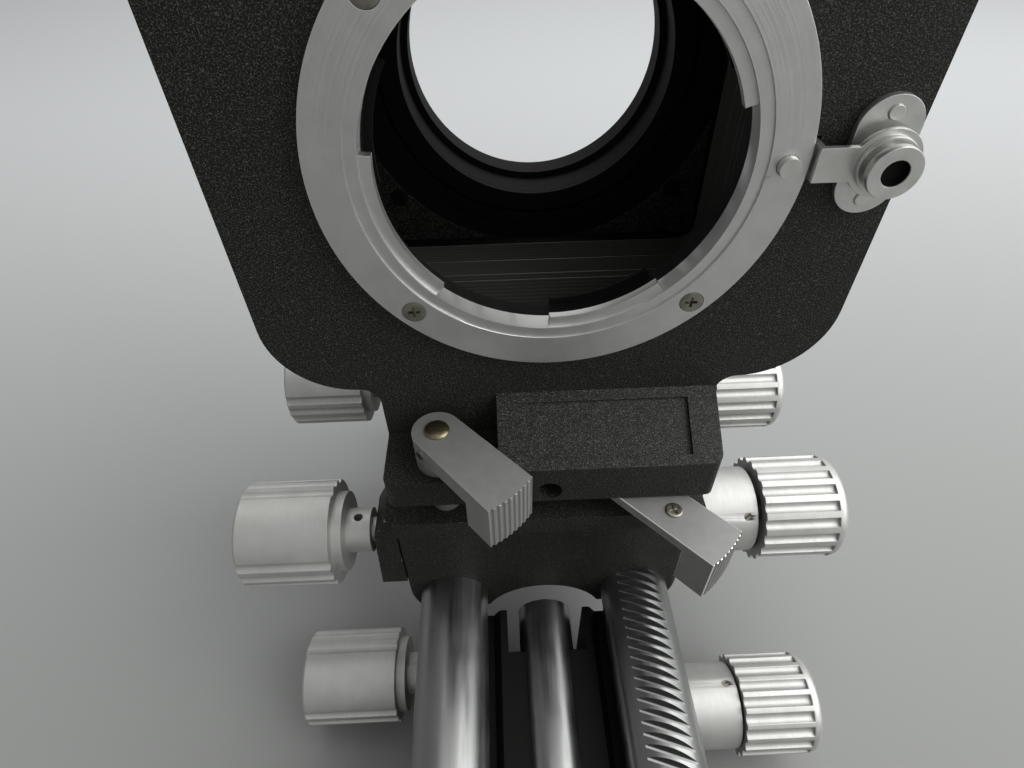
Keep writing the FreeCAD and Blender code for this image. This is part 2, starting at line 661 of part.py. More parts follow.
def end_plate(outer, inner, with_rod):
    """An end plate; outer is its outer face and inner the face towards the standards."""
    low, high = (outer, inner) if with_rod else (inner, outer)
    plate = prism("XZ_Plane", low, high, [
        ("-end_plate_half_width", "end_plate_base"), ("end_plate_half_width", "end_plate_base"),
        ("end_plate_half_width", "end_plate_top"), ("-end_plate_half_width", "end_plate_top")])
    rounded(plate, "end_plate_corner", lambda middle, way: along(way, "y"))
    inward = "+" if with_rod else "-"
    wall = "(%s %s end_plate_wall)" % (outer, inward)
    span = (wall, "(%s + 1)" % inner) if with_rod else ("(%s - 1)" % inner, wall)
    seats = [("-" + rail_x, "rail_height", rail_radius), (rail_x, "rail_height", rail_radius)]
    if with_rod:
        seats.append(("0", "rod_height", rod_radius))
    tools = []
    for x, z, radius in seats:
        tools.append(rod("y", radius, span[0], span[1], x, z))
        screw = (outer, wall) if with_rod else (wall, outer)
        heads = ("end_screw_head", "end_screw_radius") if with_rod else ("end_screw_radius",
                                                                         "end_screw_head")
        tools.append(cone("y", heads[0], heads[1], screw[0], screw[1], x, z))
    return cut(plate, *tools)


named(end_plate("rail_front", "(rail_front + end_plate_thickness)", True), "front_end_plate")
named(end_plate("rail_rear", "(rail_rear - end_plate_thickness)", False), "rear_end_plate")

end_screws = []
for x, z, ends in (("-" + rail_x, "rail_height", 2), (rail_x, "rail_height", 2), ("0", "rod_height", 1)):
    head = cone("y", "end_screw_head", "end_screw_radius", "rail_front", rail_start, x, z)
    shank = rod("y", "end_screw_radius", rail_start, "rail_front + end_screw_length", x, z)
    end_screws.append(fuse(head, shank))
    if ends == 2:
        head = cone("y", "end_screw_radius", "end_screw_head", rail_end, "rail_rear", x, z)
        shank = rod("y", "end_screw_radius", "rail_rear - end_screw_length", rail_end, x, z)
        end_screws.append(fuse(head, shank))
end_screw_group = fresh("Part::Compound")
end_screw_group.Links = end_screws
named(end_screw_group, "end_screws")

# ---------------------------------------------------------------------------------------
# Knobs, shafts and lock screws, shared by the standards and the stage
# ---------------------------------------------------------------------------------------

flute_pitch = "(360 / flute_count)"


def flute_orbit(radius):
    return "(%s + flute_radius - flute_depth)" % radius


def fluted(body, length, rim, centres, copies):
    """Cuts flutes into a knob, all but its plain rim."""
    sketch = circles(body, "YZ_Plane", "-lock_step_length - 1", centres, "flute_radius")
    pocket = body.newObject("PartDesign::Pocket", body.Name + "_flute")
    pocket.Profile = sketch
    pocket.Reversed = True
    bind(pocket, "Length", "%s - (%s) + lock_step_length + 1" % (length, rim))
    pattern = body.newObject("PartDesign::PolarPattern", body.Name + "_flutes")
    pattern.Originals = [pocket]
    x_axis = [feature for feature in body.Origin.OriginFeatures if feature.Role == "X_Axis"]
    pattern.Axis = (x_axis[0], [""])
    pattern.Angle = 360
    bind(pattern, "Occurrences", copies)
    body.Tip = pattern
    doc.recompute()


def revolved(corners):
    """A body turned about X from (x, radius) corners."""
    body = fresh("PartDesign::Body")
    sketch = outline(body, "XY_Plane", "0", corners)
    turn = body.newObject("PartDesign::Revolution", body.Name + "_turn")
    turn.Profile = sketch
    turn.ReferenceAxis = (sketch, ["H_Axis"])
    turn.Angle = 360
    doc.recompute()
    return body


def drive_knob(label, radius, start, length, y, z):
    """A knob with a recessed back, and an outer edge that rounds off in three short facets."""
    body = revolved([
        ("knob_recess", "shaft_radius"), ("knob_recess", "knob_recess_radius"),
        ("0", "knob_recess_radius"), ("0", radius), ("%s - knob_round" % length, radius),
        ("%s - knob_round * (1 - sin(30))" % length, "%s - knob_round * (1 - cos(30))" % radius),
        ("%s - knob_round * (1 - cos(30))" % length, "%s - knob_round * (1 - sin(30))" % radius),
        (length, "%s - knob_round" % radius), (length, "0"),
        ("%s - knob_face" % length, "0"), ("%s - knob_face" % length, "shaft_radius")])
    fluted(body, length, "knob_rim", [(flute_orbit(radius), "0")], "flute_count")
    return named(seat(body, start, y, z), label)


def lock_knob(label, radius, start, length, y, z):
    """A lock knob on the left: three groups of three flutes, and a step behind them."""
    body = revolved([
        ("-lock_step_length", "lock_thread_radius"), ("-lock_step_length", "lock_step_radius"),
        ("0", "lock_step_radius"), ("0", radius), ("%s - knob_chamfer" % length, radius),
        (length, "%s - knob_chamfer" % radius), (length, "0"), ("%s - knob_face" % length, "0"),
        ("%s - knob_face" % length, "lock_thread_radius")])
    centres = [("%s * cos(%d * %s)" % (flute_orbit(radius), step, flute_pitch),
                "%s * sin(%d * %s)" % (flute_orbit(radius), step, flute_pitch)) for step in (-1, 0, 1)]
    fluted(body, length, "-1", centres, "3")
    body.Placement.Rotation = Rotation(Vector(0, 0, 1), 180)
    return named(seat(body, "-(%s)" % start, y, z), label)


def lock_screw(label, knob_start, knob_length, shank_end, tip, y, z):
    """A lock screw along X: thread in the knob, drilled shank, thread and a cone point."""
    knob_bore = "-(%s + %s - knob_face)" % (knob_start, knob_length)
    shank_start = "-(%s - lock_step_length)" % knob_start
    shank = rod("x", "lock_shank_radius", shank_start, "-(%s)" % shank_end, y, z)
    hole_x = "-((%s) + (%s) - lock_step_length) / 2" % (knob_start, shank_end)
    hole_z = "%s - lock_shank_radius - 1" % z
    tommy = rod("z", "tommy_hole_radius", hole_z, "%s + lock_shank_radius + 1" % z, hole_x, y)
    cone_start = "-(%s + lock_thread_radius * 1.1)" % tip
    thread = rod("x", "lock_thread_radius", knob_bore, cone_start, y, z)
    point = cone("x", "lock_thread_radius", "lock_thread_radius / 3", cone_start,
                 "-(%s - 0.5)" % tip, y, z)
    return named(cut(fuse(shank, thread, point), tommy), label)


def standard_drive(name, y):
    """Knob, pinion shaft, bearing sleeve and inner bush of one standard."""
    knob_start = "(drive_sleeve_end + knob_gap)"
    drive_knob(name + "_drive_knob", "knob_radius", knob_start, "knob_length", y, "drive_height")
    half = number("pinion_width") / 2
    middle = number(rail_x)
    radius = number(focus_radius)
    phase = nearest_gap(number(y), number(front_drive_y)) / radius - math.pi / 2
    twist = -math.tan(math.radians(number("rack_slant"))) / radius
    teeth = int(number("focus_teeth"))
    gear = fresh("Part::Feature")
    gear.Shape = gear_solid(teeth, middle - half, middle + half, number(y), number("drive_height"), phase,
                            twist)
    shaft = rod("x", "shaft_radius", inner_bush_start, "%s + knob_length - knob_face" % knob_start,
                y, "drive_height")
    named(fuse(gear, shaft), name + "_pinion")
    collar = rod("x", "sleeve_radius", "carriage_half_width", "drive_sleeve_end", y, "drive_height")
    spigot = rod("x", "sleeve_spigot", sleeve_start, "carriage_half_width", y, "drive_height")
    bore = rod("x", sleeve_bore, "rail_spacing / 2", "drive_sleeve_end + 1", y, "drive_height")
    named(cut(fuse(collar, spigot), bore), name + "_bearing")
    named(tube("x", "bush_radius", sleeve_bore, inner_bush_start, pinion_pocket_start, y, "drive_height"),
          name + "_bush")


inner_bush_start = "(rail_spacing / 2 - pinion_width / 2 - face_gap - 6)"
pinion_pocket_start = "(rail_spacing / 2 - pinion_width / 2 - face_gap)"
sleeve_start = "(rail_spacing / 2 + pinion_width / 2 + sleeve_setback)"
lock_tip = "(rail_spacing / 2)"
lock_shank_start = "(boss_reach + face_gap)"
lock_knob_start = "(boss_reach + face_gap + lock_shank_length + lock_step_length)"


def standard_lock(name, y):
    """Knob, screw, clamp block and brass shoe of one standard."""
    lock_knob(name + "_lock_knob", "lock_knob_radius", lock_knob_start, "lock_knob_length", y,
              "lock_height")
    lock_screw(name + "_lock_screw", lock_knob_start, "lock_knob_length", lock_shank_start, lock_tip, y,
               "lock_height")
    boss = prism("XZ_Plane", "%s - boss_half_depth" % y, "%s + boss_half_depth" % y, [
        ("-carriage_half_width", "boss_base"), ("-carriage_half_width", "boss_top"),
        ("-carriage_half_width - 1.5", "boss_top"), ("-boss_reach + 1", "lock_height + lock_shank_radius"),
        ("-boss_reach", "boss_base")])
    thread_bore = rod("x", "lock_thread_radius + running_gap", "-boss_reach - 1",
                      "-carriage_half_width + 1",
                      y, "lock_height")
    named(cut(boss, thread_bore), name + "_clamp_block")
    named(rod("z", "shoe_radius", rail_top + " + running_gap",
              "lock_height - lock_thread_radius - running_gap",
              "-rail_spacing / 2", y), name + "_shoe")


# ---------------------------------------------------------------------------------------
# Carriages
# ---------------------------------------------------------------------------------------


def carriage(face, drive_y, lock_y, grooved):
    """A casting that hugs both rails, with an arch between them."""
    rear = "(%s + carriage_depth)" % face
    through = ("%s - 1" % face, "%s + 1" % rear)
    body = prism("XZ_Plane", face, rear, [
        ("-carriage_lip_half", "carriage_lip"), ("carriage_lip_half", "carriage_lip"),
        ("carriage_half_width", "carriage_shoulder"), ("carriage_half_width", "carriage_top"),
        ("-carriage_half_width", "carriage_top"), ("-carriage_half_width", "carriage_shoulder")])
    rounded(body, "carriage_round", lambda middle, way: along(way, "z"))
    tools = [
        rod("y", rail_radius + " + running_gap", *through, "-" + rail_x, "rail_height"),
        rod("y", rail_radius + " + running_gap", *through, rail_x, "rail_height"),
        rod("y", "arch_radius", *through, "0", "arch_height"),
        rod("x", "sleeve_spigot", pinion_pocket_start, "carriage_half_width + 1", drive_y, "drive_height"),
        rod("x", "bush_radius", inner_bush_start, pinion_pocket_start, drive_y, "drive_height"),
        rod("x", "lock_thread_radius + running_gap", "-carriage_half_width - 1", "-rail_spacing / 2 + 3",
            lock_y, "lock_height"),
        rod("z", "shoe_radius", "rail_height", "lock_height", "-rail_spacing / 2", lock_y),
    ]
    if grooved:
        neck = "(keel_half_neck + running_gap)"
        base = "(keel_half_base + running_gap)"
        floor = "shift_base - keel_depth - running_gap"
        tools.append(prism("YZ_Plane", "-carriage_half_width - 1", "carriage_half_width + 1", [
            ("swing_centre - %s" % neck, "shift_base + 1"), ("swing_centre - %s" % neck, "shift_base"),
            ("swing_centre - %s" % base, floor), ("swing_centre + %s" % base, floor),
            ("swing_centre + %s" % neck, "shift_base"), ("swing_centre + %s" % neck, "shift_base + 1")]))
    else:
        for side in ("-", ""):
            spot = (side + "rear_screw_x", rear_plate_middle)
            tools.append(rod("z", "foot_screw_radius", rear_seat + " - 1", "carriage_top + 1", *spot))
            tools.append(rod("z", "foot_screw_head + running_gap", "carriage_lip", rear_seat, *spot))
    return cut(body, *tools)


named(carriage("front_carriage_face", front_drive_y, front_lock_y, True), "front_carriage")
named(carriage("rear_carriage_face", rear_drive_y, rear_lock_y, False), "rear_carriage")
standard_drive("front", front_drive_y)
standard_drive("rear", rear_drive_y)
standard_lock("front", front_lock_y)
standard_lock("rear", rear_lock_y)

# ---------------------------------------------------------------------------------------
# Shift plate, which slides across the front carriage and carries the turntable
# ---------------------------------------------------------------------------------------

washer_top = "(shift_base - 1.1)"
washer_bottom = "(shift_base - 3.1)"
shift_slab = box("-shift_half_width", "shift_half_width", "shift_front", "shift_rear", "shift_base",
                 "shift_top")
keel = prism("YZ_Plane", "-keel_half_length", "keel_half_length", [
    ("swing_centre - keel_half_neck", "shift_base"), ("swing_centre - keel_half_base",
                                                      "shift_base - keel_depth"),
    ("swing_centre + keel_half_base", "shift_base - keel_depth"), ("swing_centre + keel_half_neck",
                                                                   "shift_base")])
turntable = rod("z", "swing_boss_radius", "shift_top", "head_base - running_gap", "0", "swing_centre")
stud_bore = rod("z", "swing_stud_radius + running_gap", "shift_base - keel_depth - 1", "head_base + 1",
                "0", "swing_centre")
washer_bore = rod("z", "swing_washer_radius + face_gap", "shift_base - keel_depth - 1",
                  washer_top + " + running_gap", "0", "swing_centre")
shift_shank_bore = rod("z", "lock_thread_radius + running_gap", "carriage_top - 5", "shift_top + 1",
                       "shift_lever_x", "shift_lever_y")
named(cut(fuse(shift_slab, keel, turntable), stud_bore, washer_bore, shift_shank_bore), "shift_plate")

# ---------------------------------------------------------------------------------------
# Clamp levers: a flat arm that turns about an upright screw and ends in a fluted grip
# ---------------------------------------------------------------------------------------


def lever(half_width, end_half, length, top, thickness, grip_height, hub_low, shank_low, pivot, angle):
    """The arm points along +X before it is turned about its pivot; its end is an arc about the pivot."""
    blade = [("0", "-" + half_width), (length, "-" + end_half), (length, end_half), ("0", half_width)]
    arm = prism("XY_Plane", "%s - %s" % (top, thickness), top, blade)
    grip = common(prism("XY_Plane", "%s - %s" % (top, grip_height), top, blade),
                  box("%s - lever_grip_depth" % length, length, "-" + end_half, end_half,
                      "%s - %s - 1" % (top, grip_height), top + " + 1"))
    swept = common(fuse(arm, grip), rod("z", length, "%s - %s - 1" % (top, grip_height), top + " + 1", "0",
                                        "0"))
    hub = rod("z", half_width, hub_low, top, "0", "0")
    shank = rod("z", "lock_thread_radius", shank_low, hub_low, "0", "0")
    whole = fuse(swept, hub, shank)
    whole.Placement.Rotation = Rotation(Vector(0, 0, 1), 1)
    bind(whole, "Placement.Rotation.Angle", "360 + " + angle)
    return seat(whole, pivot[0], pivot[1], "0")


named(lever("lever_half_width", "lever_end_half", "swing_lever_length", "swing_lever_top",
            "swing_lever_thickness", "swing_grip_height", "(ledge_height + running_gap)",
            "shift_top + running_gap", ("swing_lever_x",
                                        "swing_lever_y"), "swing_lever_angle"), "swing_lever")
named(lever("shift_lever_half_width", "shift_lever_end_half", "shift_lever_length", "shift_lever_top",
            "shift_lever_thickness", "shift_grip_height", "(shift_lever_top - shift_lever_thickness)",
            "carriage_top + running_gap", ("shift_lever_x",
                                           "shift_lever_y"), "shift_lever_angle"), "shift_lever")

# ---------------------------------------------------------------------------------------
# Head: front plate with its block, which swings on the shift plate
# ---------------------------------------------------------------------------------------

plate = prism("XZ_Plane", "plate_front", plate_rear, [
    ("-head_half_width", "head_slope_top - 2"), ("head_half_width", "head_slope_top - 2"),
    ("head_half_width", "plate_base"), ("plate_half_width", "plate_base"),
    ("plate_half_width", "plate_top"), ("-plate_half_width", "plate_top"),
    ("-plate_half_width", "plate_base"), ("-head_half_width", "plate_base")])
rounded(plate, "plate_corner",
        lambda middle, way: along(way, "y") and abs(abs(middle.x) - number("plate_half_width")) < 0.01)
rounded(plate, "neck_fillet",
        lambda middle, way: along(way, "y") and abs(abs(middle.x) - number("head_half_width")) < 0.01
        and abs(middle.z - number("plate_base")) < 0.01)
head_block = prism("YZ_Plane", "-head_half_width", "head_half_width", [
    ("head_front", "head_base"), ("head_rear", "head_base"), ("head_rear", "head_rear_top"),
    (plate_rear, "head_slope_top"), ("plate_front", "head_slope_top"), ("head_front", "head_brow")])
rounded(head_block, "carriage_round",
        lambda middle, way: along(way, "z") and abs(middle.y - number("head_front")) < 0.01)
stud = rod("z", "swing_stud_radius", washer_top, "head_base + 1", "0", "swing_centre")
ledge = box("-head_half_width - 1", "ledge_side", "head_front - 1", "plate_front", "ledge_height",
            "plate_base")

badge_angle = "atan((head_slope_top - head_brow) / (plate_front - head_front))"
badge = fresh("Part::Box")
bind(badge, "Length", "badge_width")
bind(badge, "Width", "badge_height")
bind(badge, "Height", "badge_recess + 1")
badge.Placement.Rotation = Rotation(Vector(1, 0, 0), 1)
bind(badge, "Placement.Rotation.Angle", badge_angle)
seat(badge, "badge_left",
     "head_front + badge_inset * cos(%s) + badge_recess * sin(%s)" % (badge_angle, badge_angle),
     "head_brow + badge_inset * sin(%s) - badge_recess * cos(%s)" % (badge_angle, badge_angle))

lens_hole = rod("y", "lens_ring_skirt", "plate_front - 1", plate_rear + " + 1", "0", "lens_height")
bar_low = "(%s - lock_bar_half - face_gap)" % release_z
bar_high = "(%s + lock_bar_half + face_gap)" % release_z
bar_channel = box("bar_reach - face_gap", "bar_riser + lock_bar_thickness + face_gap", "plate_front - 1",
                  "bar_rear + release_travel + face_gap", bar_low, bar_high)
button_bore = rod("y", "spring_bore", "plate_front - 1", button_floor, release_x, release_z)
swing_bore = rod("z", "lock_thread_radius + running_gap", "head_base - 1", "ledge_height + 1",
                 "swing_lever_x", "swing_lever_y")
swing_thread = rod("z", "swing_screw_radius", washer_top, swing_screw_top, "0", "swing_centre")
set_hole = rod("y", "set_hole_radius", "head_front - 1", "head_front + 3", "set_hole_x", "set_hole_z")
mount_threads = [rod("y", "mount_screw_shank", "plate_front", screw_end, x, z) for x,
                 z in mount_screw_spots]
frame_threads = [rod("y", "frame_screw_radius", plate_rear + " - frame_screw_bite", plate_rear, x, z)
                 for x, z in frame_screw_spots]
named(cut(fuse(plate, head_block, stud), ledge, badge, lens_hole, bar_channel, button_bore, swing_bore,
          swing_thread, set_hole, *mount_threads, *frame_threads), "front_plate")

screw_head = rod("z", "swing_washer_radius", washer_bottom, washer_top, "0", "swing_centre")
screw_shank = rod("z", "swing_screw_radius", washer_top, swing_screw_top, "0", "swing_centre")
named(fuse(screw_head, screw_shank), "swing_screw")

# ---------------------------------------------------------------------------------------
# Lens mount: bayonet ring, screws, springs and the lock pin with its button
# ---------------------------------------------------------------------------------------


LIP_ARCS = ((173, 54), (269, 42), (18, 52))
SPRING_STARTS = (25, 150, 270)
LUG_STARTS = (5, 125, 245)


def ring_arc(outer, inner, y_low, y_high, start, sweep):
    """Part of a ring around the optical axis, counted anticlockwise seen from the lens side."""
    pieces = []
    for radius, low, high in ((outer, y_low, y_high), (inner, "(%s) - 1" % y_low, "(%s) + 1" % y_high)):
        sector = fresh("Part::Cylinder")
        bind(sector, "Radius", radius)
        bind(sector, "Height", "(%s) - (%s)" % (high, low))
        sector.Placement.Rotation = Rotation(Vector(1, 0, 0), 90).multiply(Rotation(Vector(0, 0, 1), start))
        if radius == outer:
            bind(sector, "Angle", sweep)
        pieces.append(seat(sector, "0", high, "lens_height"))
    return cut(*pieces)


flange = rod("y", "lens_ring_radius", "lens_face", "plate_front", "0", "lens_height")
skirt = rod("y", "lens_ring_skirt", "plate_front", skirt_end, "0", "lens_height")
opening = rod("y", "lens_opening", "lens_face - 1", skirt_end + " + 1", "0", "lens_height")
lips = [ring_arc("(lens_opening + 0.2)", "lens_throat", "lens_face + lip_setback",
                 "lens_face + lip_setback + lip_thickness", start, sweep)
        for start, sweep in LIP_ARCS]
pin_hole = rod("y", "pin_radius + running_gap", "lens_face - 1", "plate_front", "pin_distance", pin_z)
bar_relief = box("bar_reach - face_gap", "lens_ring_radius + 1", "bar_front - running_gap",
                 skirt_end + " + 1",
                 bar_low, bar_high)
head_seats = [rod("y", "mount_screw_radius", "lens_face - 1", mount_head_end, x, z) for x,
              z in mount_screw_spots]
shank_holes = [rod("y", "mount_screw_shank", "lens_face", "plate_front + 1", x, z) for x,
               z in mount_screw_spots]
named(cut(fuse(cut(fuse(flange, skirt), opening), *lips), pin_hole, bar_relief, *head_seats, *shank_holes),
      "lens_mount")


def group(label, pieces):
    """Identical loose pieces that share one node."""
    compound = fresh("Part::Compound")
    compound.Links = pieces
    return named(compound, label)


group("mount_screws", [
    fuse(rod("y", "mount_screw_radius", "lens_face", mount_head_end, x, z),
         rod("y", "mount_screw_shank", mount_head_end, screw_end, x, z)) for x, z in mount_screw_spots])
group("bayonet_springs", [
    ring_arc("(lens_ring_skirt - 0.2)", "(lens_throat + 0.4)", skirt_end, "(%s + 0.4)" % skirt_end, start,
             "spring_sweep") for start in SPRING_STARTS])

oval = fuse(
    box(release_x + " - release_plate_half", release_x + " + release_plate_half", oval_front, "plate_front",
        release_z + " - release_plate_span", release_z + " + release_plate_span"),
    rod("y", "release_plate_half", oval_front, "plate_front", release_x,
        release_z + " - release_plate_span"),
    rod("y", "release_plate_half", oval_front, "plate_front", release_x,
        release_z + " + release_plate_span"))
stem_hole = rod("y", "release_stem + running_gap", oval_front + " - 1", "plate_front + 1", release_x,
                release_z)
rivet_spots = [(release_x, release_z + " - release_rivet_span"),
               (release_x, release_z + " + release_rivet_span")]
rivet_holes = [rod("y", "release_rivet_radius", oval_front + " - 1", "plate_front + 1", x, z)
               for x, z in rivet_spots]
named(cut(oval, stem_hole, *rivet_holes), "release_plate")
group("release_rivets", [
    rod("y", "release_rivet_radius", oval_front + " - 0.3", "plate_front", x, z) for x, z in rivet_spots])

cap_rear = "(release_reach + cap_thickness)"
base_front = "(%s + neck_length)" % cap_rear
base_rear = "(%s + base_thickness)" % base_front
eye_rear = "(%s + lock_bar_thickness)" % base_rear
collar_front = "(plate_front + 2 * running_gap)"
collar_rear = "(collar_thickness + %s)" % collar_front
button = fuse(
    rod("y", "release_cap", "release_reach", cap_rear, release_x, release_z),
    rod("y", "release_neck", cap_rear, base_front, release_x, release_z),
    rod("y", "release_base", base_front, base_rear, release_x, release_z),
    rod("y", "release_stem", base_rear, button_floor + " - release_travel - 0.2", release_x, release_z),
    rod("y", "release_collar", collar_front, collar_rear, release_x, release_z))
dimple = rod("y", "release_dimple", "release_reach - 1", "release_reach + 1", release_x, release_z)
named(cut(button, dimple), "release_button")

bar_z = (release_z + " - lock_bar_half", release_z + " + lock_bar_half")
bar = fuse(
    rod("y", "lock_eye_radius", base_rear, eye_rear, release_x, release_z),
    box("bar_riser", release_x, base_rear, eye_rear, *bar_z),
    box("bar_riser", "bar_riser + lock_bar_thickness", base_rear, "bar_rear", *bar_z),
    box("bar_reach", "bar_riser + lock_bar_thickness", "bar_front", "bar_rear", *bar_z),
    rod("y", "pin_radius", "lens_face - pin_height", "bar_front", "pin_distance", pin_z))
eye_hole = rod("y", "release_stem + running_gap", base_rear + " - 1", eye_rear + " + 1", release_x,
               release_z)
named(cut(bar, eye_hole), "lock_bar")
named(tube("y", "spring_bore - face_gap", "release_stem + face_gap", collar_rear, button_floor, release_x,
           release_z), "release_spring")

# ---------------------------------------------------------------------------------------
# Bellows and the two frames that hold it
# ---------------------------------------------------------------------------------------


def square(half, y_low, y_high):
    """A square block around the optical axis."""
    return box("-" + half, half, y_low, y_high, "lens_height - " + half, "lens_height + " + half)


def bellows_frame(label, screw_label, y_low, y_high, head_y, bite_y):
    """A square frame and its four screws; head_y is the face towards the bellows."""
    solid = cut(square("frame_half", y_low, y_high),
                square("frame_opening", "(%s) - 1" % y_low, "(%s) + 1" % y_high))
    order = number(head_y) < number(bite_y)
    low, high = (head_y, bite_y) if order else (bite_y, head_y)
    throat = "(%s %s frame_screw_sink)" % (head_y, "+" if order else "-")
    holes = []
    screws = []
    for x, z in frame_screw_spots:
        span = (head_y, throat) if order else (throat, head_y)
        radii = ("frame_screw_head", "frame_screw_radius")
        if not order:
            radii = radii[::-1]
        holes.append(rod("y", "frame_screw_radius", low, high, x, z))
        holes.append(cone("y", radii[0], radii[1], span[0], span[1], x, z))
        shank = (throat, high) if order else (low, throat)
        screws.append(fuse(cone("y", radii[0], radii[1], span[0], span[1], x, z),
                           rod("y", "frame_screw_radius", shank[0], shank[1], x, z)))
    named(cut(solid, *holes), label)
    group(screw_label, screws)


bellows_frame("front_bellows_frame", "front_frame_screws", plate_rear, front_frame_rear,
              front_frame_rear, "(%s - frame_screw_bite)" % plate_rear)
bellows_frame("rear_bellows_frame", "rear_frame_screws", rear_frame_front, "rear_plate_front",
              rear_frame_front, "(rear_plate_front + frame_screw_bite)")
bellows_span = (front_frame_rear + " + face_gap", rear_frame_front + " - face_gap")
named(cut(square("bellows_half", *bellows_span),
          square("(bellows_half - bellows_wall)", bellows_span[0] + " - 1",
                 bellows_span[1] + " + 1")), "bellows")

# ---------------------------------------------------------------------------------------
# Rear standard: plate, light baffle and the turning camera mount
# ---------------------------------------------------------------------------------------

rear_slab = prism("XZ_Plane", "rear_plate_front", rear_plate_rear, [
    ("-rear_foot_half", "carriage_top"), ("rear_foot_half", "carriage_top"),
    ("rear_foot_half", "plate_base"), ("rear_plate_half", "plate_base"),
    ("rear_plate_half", "rear_plate_top"), ("-rear_plate_half", "rear_plate_top"),
    ("-rear_plate_half", "plate_base"), ("-rear_foot_half", "plate_base")])
rounded(rear_slab, "plate_corner",
        lambda middle, way: along(way, "y") and abs(abs(middle.x) - number("rear_plate_half")) < 0.01)
rounded(rear_slab, "neck_fillet",
        lambda middle, way: along(way, "y") and abs(abs(middle.x) - number("rear_foot_half")) < 0.01
        and abs(middle.z - number("plate_base")) < 0.01)
rear_opening = rod("y", "rear_hole", "rear_plate_front - 1", rear_plate_rear + " + 1", "0", "lens_height")
rear_frame_threads = [rod("y", "frame_screw_radius", "rear_plate_front",
                          "rear_plate_front + frame_screw_bite", x, z)
                      for x, z in frame_screw_spots]
foot_threads = [rod("z", "foot_screw_radius", "carriage_top", "carriage_top + rear_screw_bite",
                    side + "rear_screw_x", rear_plate_middle) for side in ("-", "")]
named(cut(rear_slab, rear_opening, *rear_frame_threads, *foot_threads), "rear_plate")
group("rear_plate_screws", [
    fuse(rod("z", "foot_screw_head", rear_seat + " - rear_screw_head", rear_seat, side + "rear_screw_x",
             rear_plate_middle),
         rod("z", "foot_screw_radius", rear_seat, "carriage_top + rear_screw_bite", side + "rear_screw_x",
             rear_plate_middle)) for side in ("-", "")])

step_depth = "(rear_plate_thickness / 4)"
baffle = rod("y", "rear_hole", "rear_plate_front", rear_plate_rear, "0", "lens_height")
baffle_bores = [rod("y", "baffle_throat + %d * baffle_step" % step, "rear_plate_front - 1",
                    "%s - %d * %s" % (rear_plate_rear, step, step_depth), "0", "lens_height")
                for step in (1, 2, 3)]
throat = rod("y", "baffle_throat", "rear_plate_front - 1", rear_plate_rear + " + 1", "0", "lens_height")
named(cut(baffle, throat, *baffle_bores), "rear_baffle")

hub_front = "(%s - %s - running_gap)" % (rear_plate_rear, step_depth)
flange_rear = "(%s + camera_ring_thickness)" % rear_plate_rear
tube_rear = "(%s + camera_tube_length)" % flange_rear
mount_solid = fuse(
    rod("y", "camera_ring_radius", rear_plate_rear, flange_rear, "0", "lens_height"),
    rod("y", "baffle_throat - running_gap", hub_front, rear_plate_rear, "0", "lens_height"),
    rod("y", "camera_tube_radius", flange_rear, tube_rear, "0", "lens_height"),
    *[ring_arc("camera_lug_radius", "(camera_tube_radius - 0.5)", tube_rear + " - camera_lug_thickness",
               tube_rear,
               start, "camera_lug_sweep") for start in LUG_STARTS])
hub_bore = rod("y", "camera_hub_bore", hub_front + " - 1", flange_rear + " - 1", "0", "lens_height")
tube_bore = rod("y", "camera_tube_bore", hub_front, tube_rear + " + 1", "0", "lens_height")
named(cut(mount_solid, hub_bore, tube_bore), "camera_mount")
named(tube("y", "camera_hub_lip", "camera_hub_bore", hub_front + " - retainer_thickness", hub_front,
           "0", "lens_height"), "mount_retainer")

# ---------------------------------------------------------------------------------------
# Tripod stage: block, foot, pinion on the centre rod, and the rail lock
# ---------------------------------------------------------------------------------------

block_front = "(block_rear - block_length)"
block_through = (block_front + " - 1", "block_rear + 1")
tongue = common(
    rod("y", "tongue_radius", block_front, "block_rear", "0", "arch_height"),
    box("-tongue_radius", "tongue_radius", block_front, "block_rear", "block_top - 1", "tongue_top"))
block = fuse(box("-block_half_width", "block_half_width", block_front, "block_rear", "block_base",
                 "block_top"),
             tongue)
chamber_radius = "(%s + gear_module + face_gap / 2)" % stage_radius
foot_spots = [(side + "foot_screw_x", y) for side in ("-", "")
              for y in (block_front + " + foot_screw_inset", "block_rear - foot_screw_inset")]
named(cut(
    block,
    rod("y", rail_radius + " + running_gap", *block_through, "-" + rail_x, "rail_height"),
    rod("y", rail_radius + " + running_gap", *block_through, rail_x, "rail_height"),
    rod("y", rod_radius + " + running_gap", *block_through, "0", "rod_height"),
    box("-notch_half_width", "notch_half_width", "block_rear - notch_depth", "block_rear + 1",
        "block_base - 1", "tongue_top + 1"),
    rod("x", chamber_radius, "-" + chamber_half, chamber_half, "stage_drive_y", stage_drive_z),
    box("-" + chamber_half, chamber_half, "stage_drive_y - " + chamber_radius,
        "stage_drive_y + " + chamber_radius,
        "block_base - 1", stage_drive_z),
    rod("x", "bush_radius", stage_bush_start, "block_half_width + 1", "stage_drive_y", stage_drive_z),
    rod("x", "lock_thread_radius + running_gap", "-block_half_width - 1", "-rail_spacing / 2 + 3",
        "stage_lock_y", "stage_lock_z"),
    rod("z", "shoe_radius", "stage_lock_z", "block_top + 1", "-rail_spacing / 2", "stage_lock_y"),
    *[rod("z", "foot_screw_radius", "block_base - 1", "block_base + foot_screw_bite", x, y)
      for x, y in foot_spots]), "stage_block")

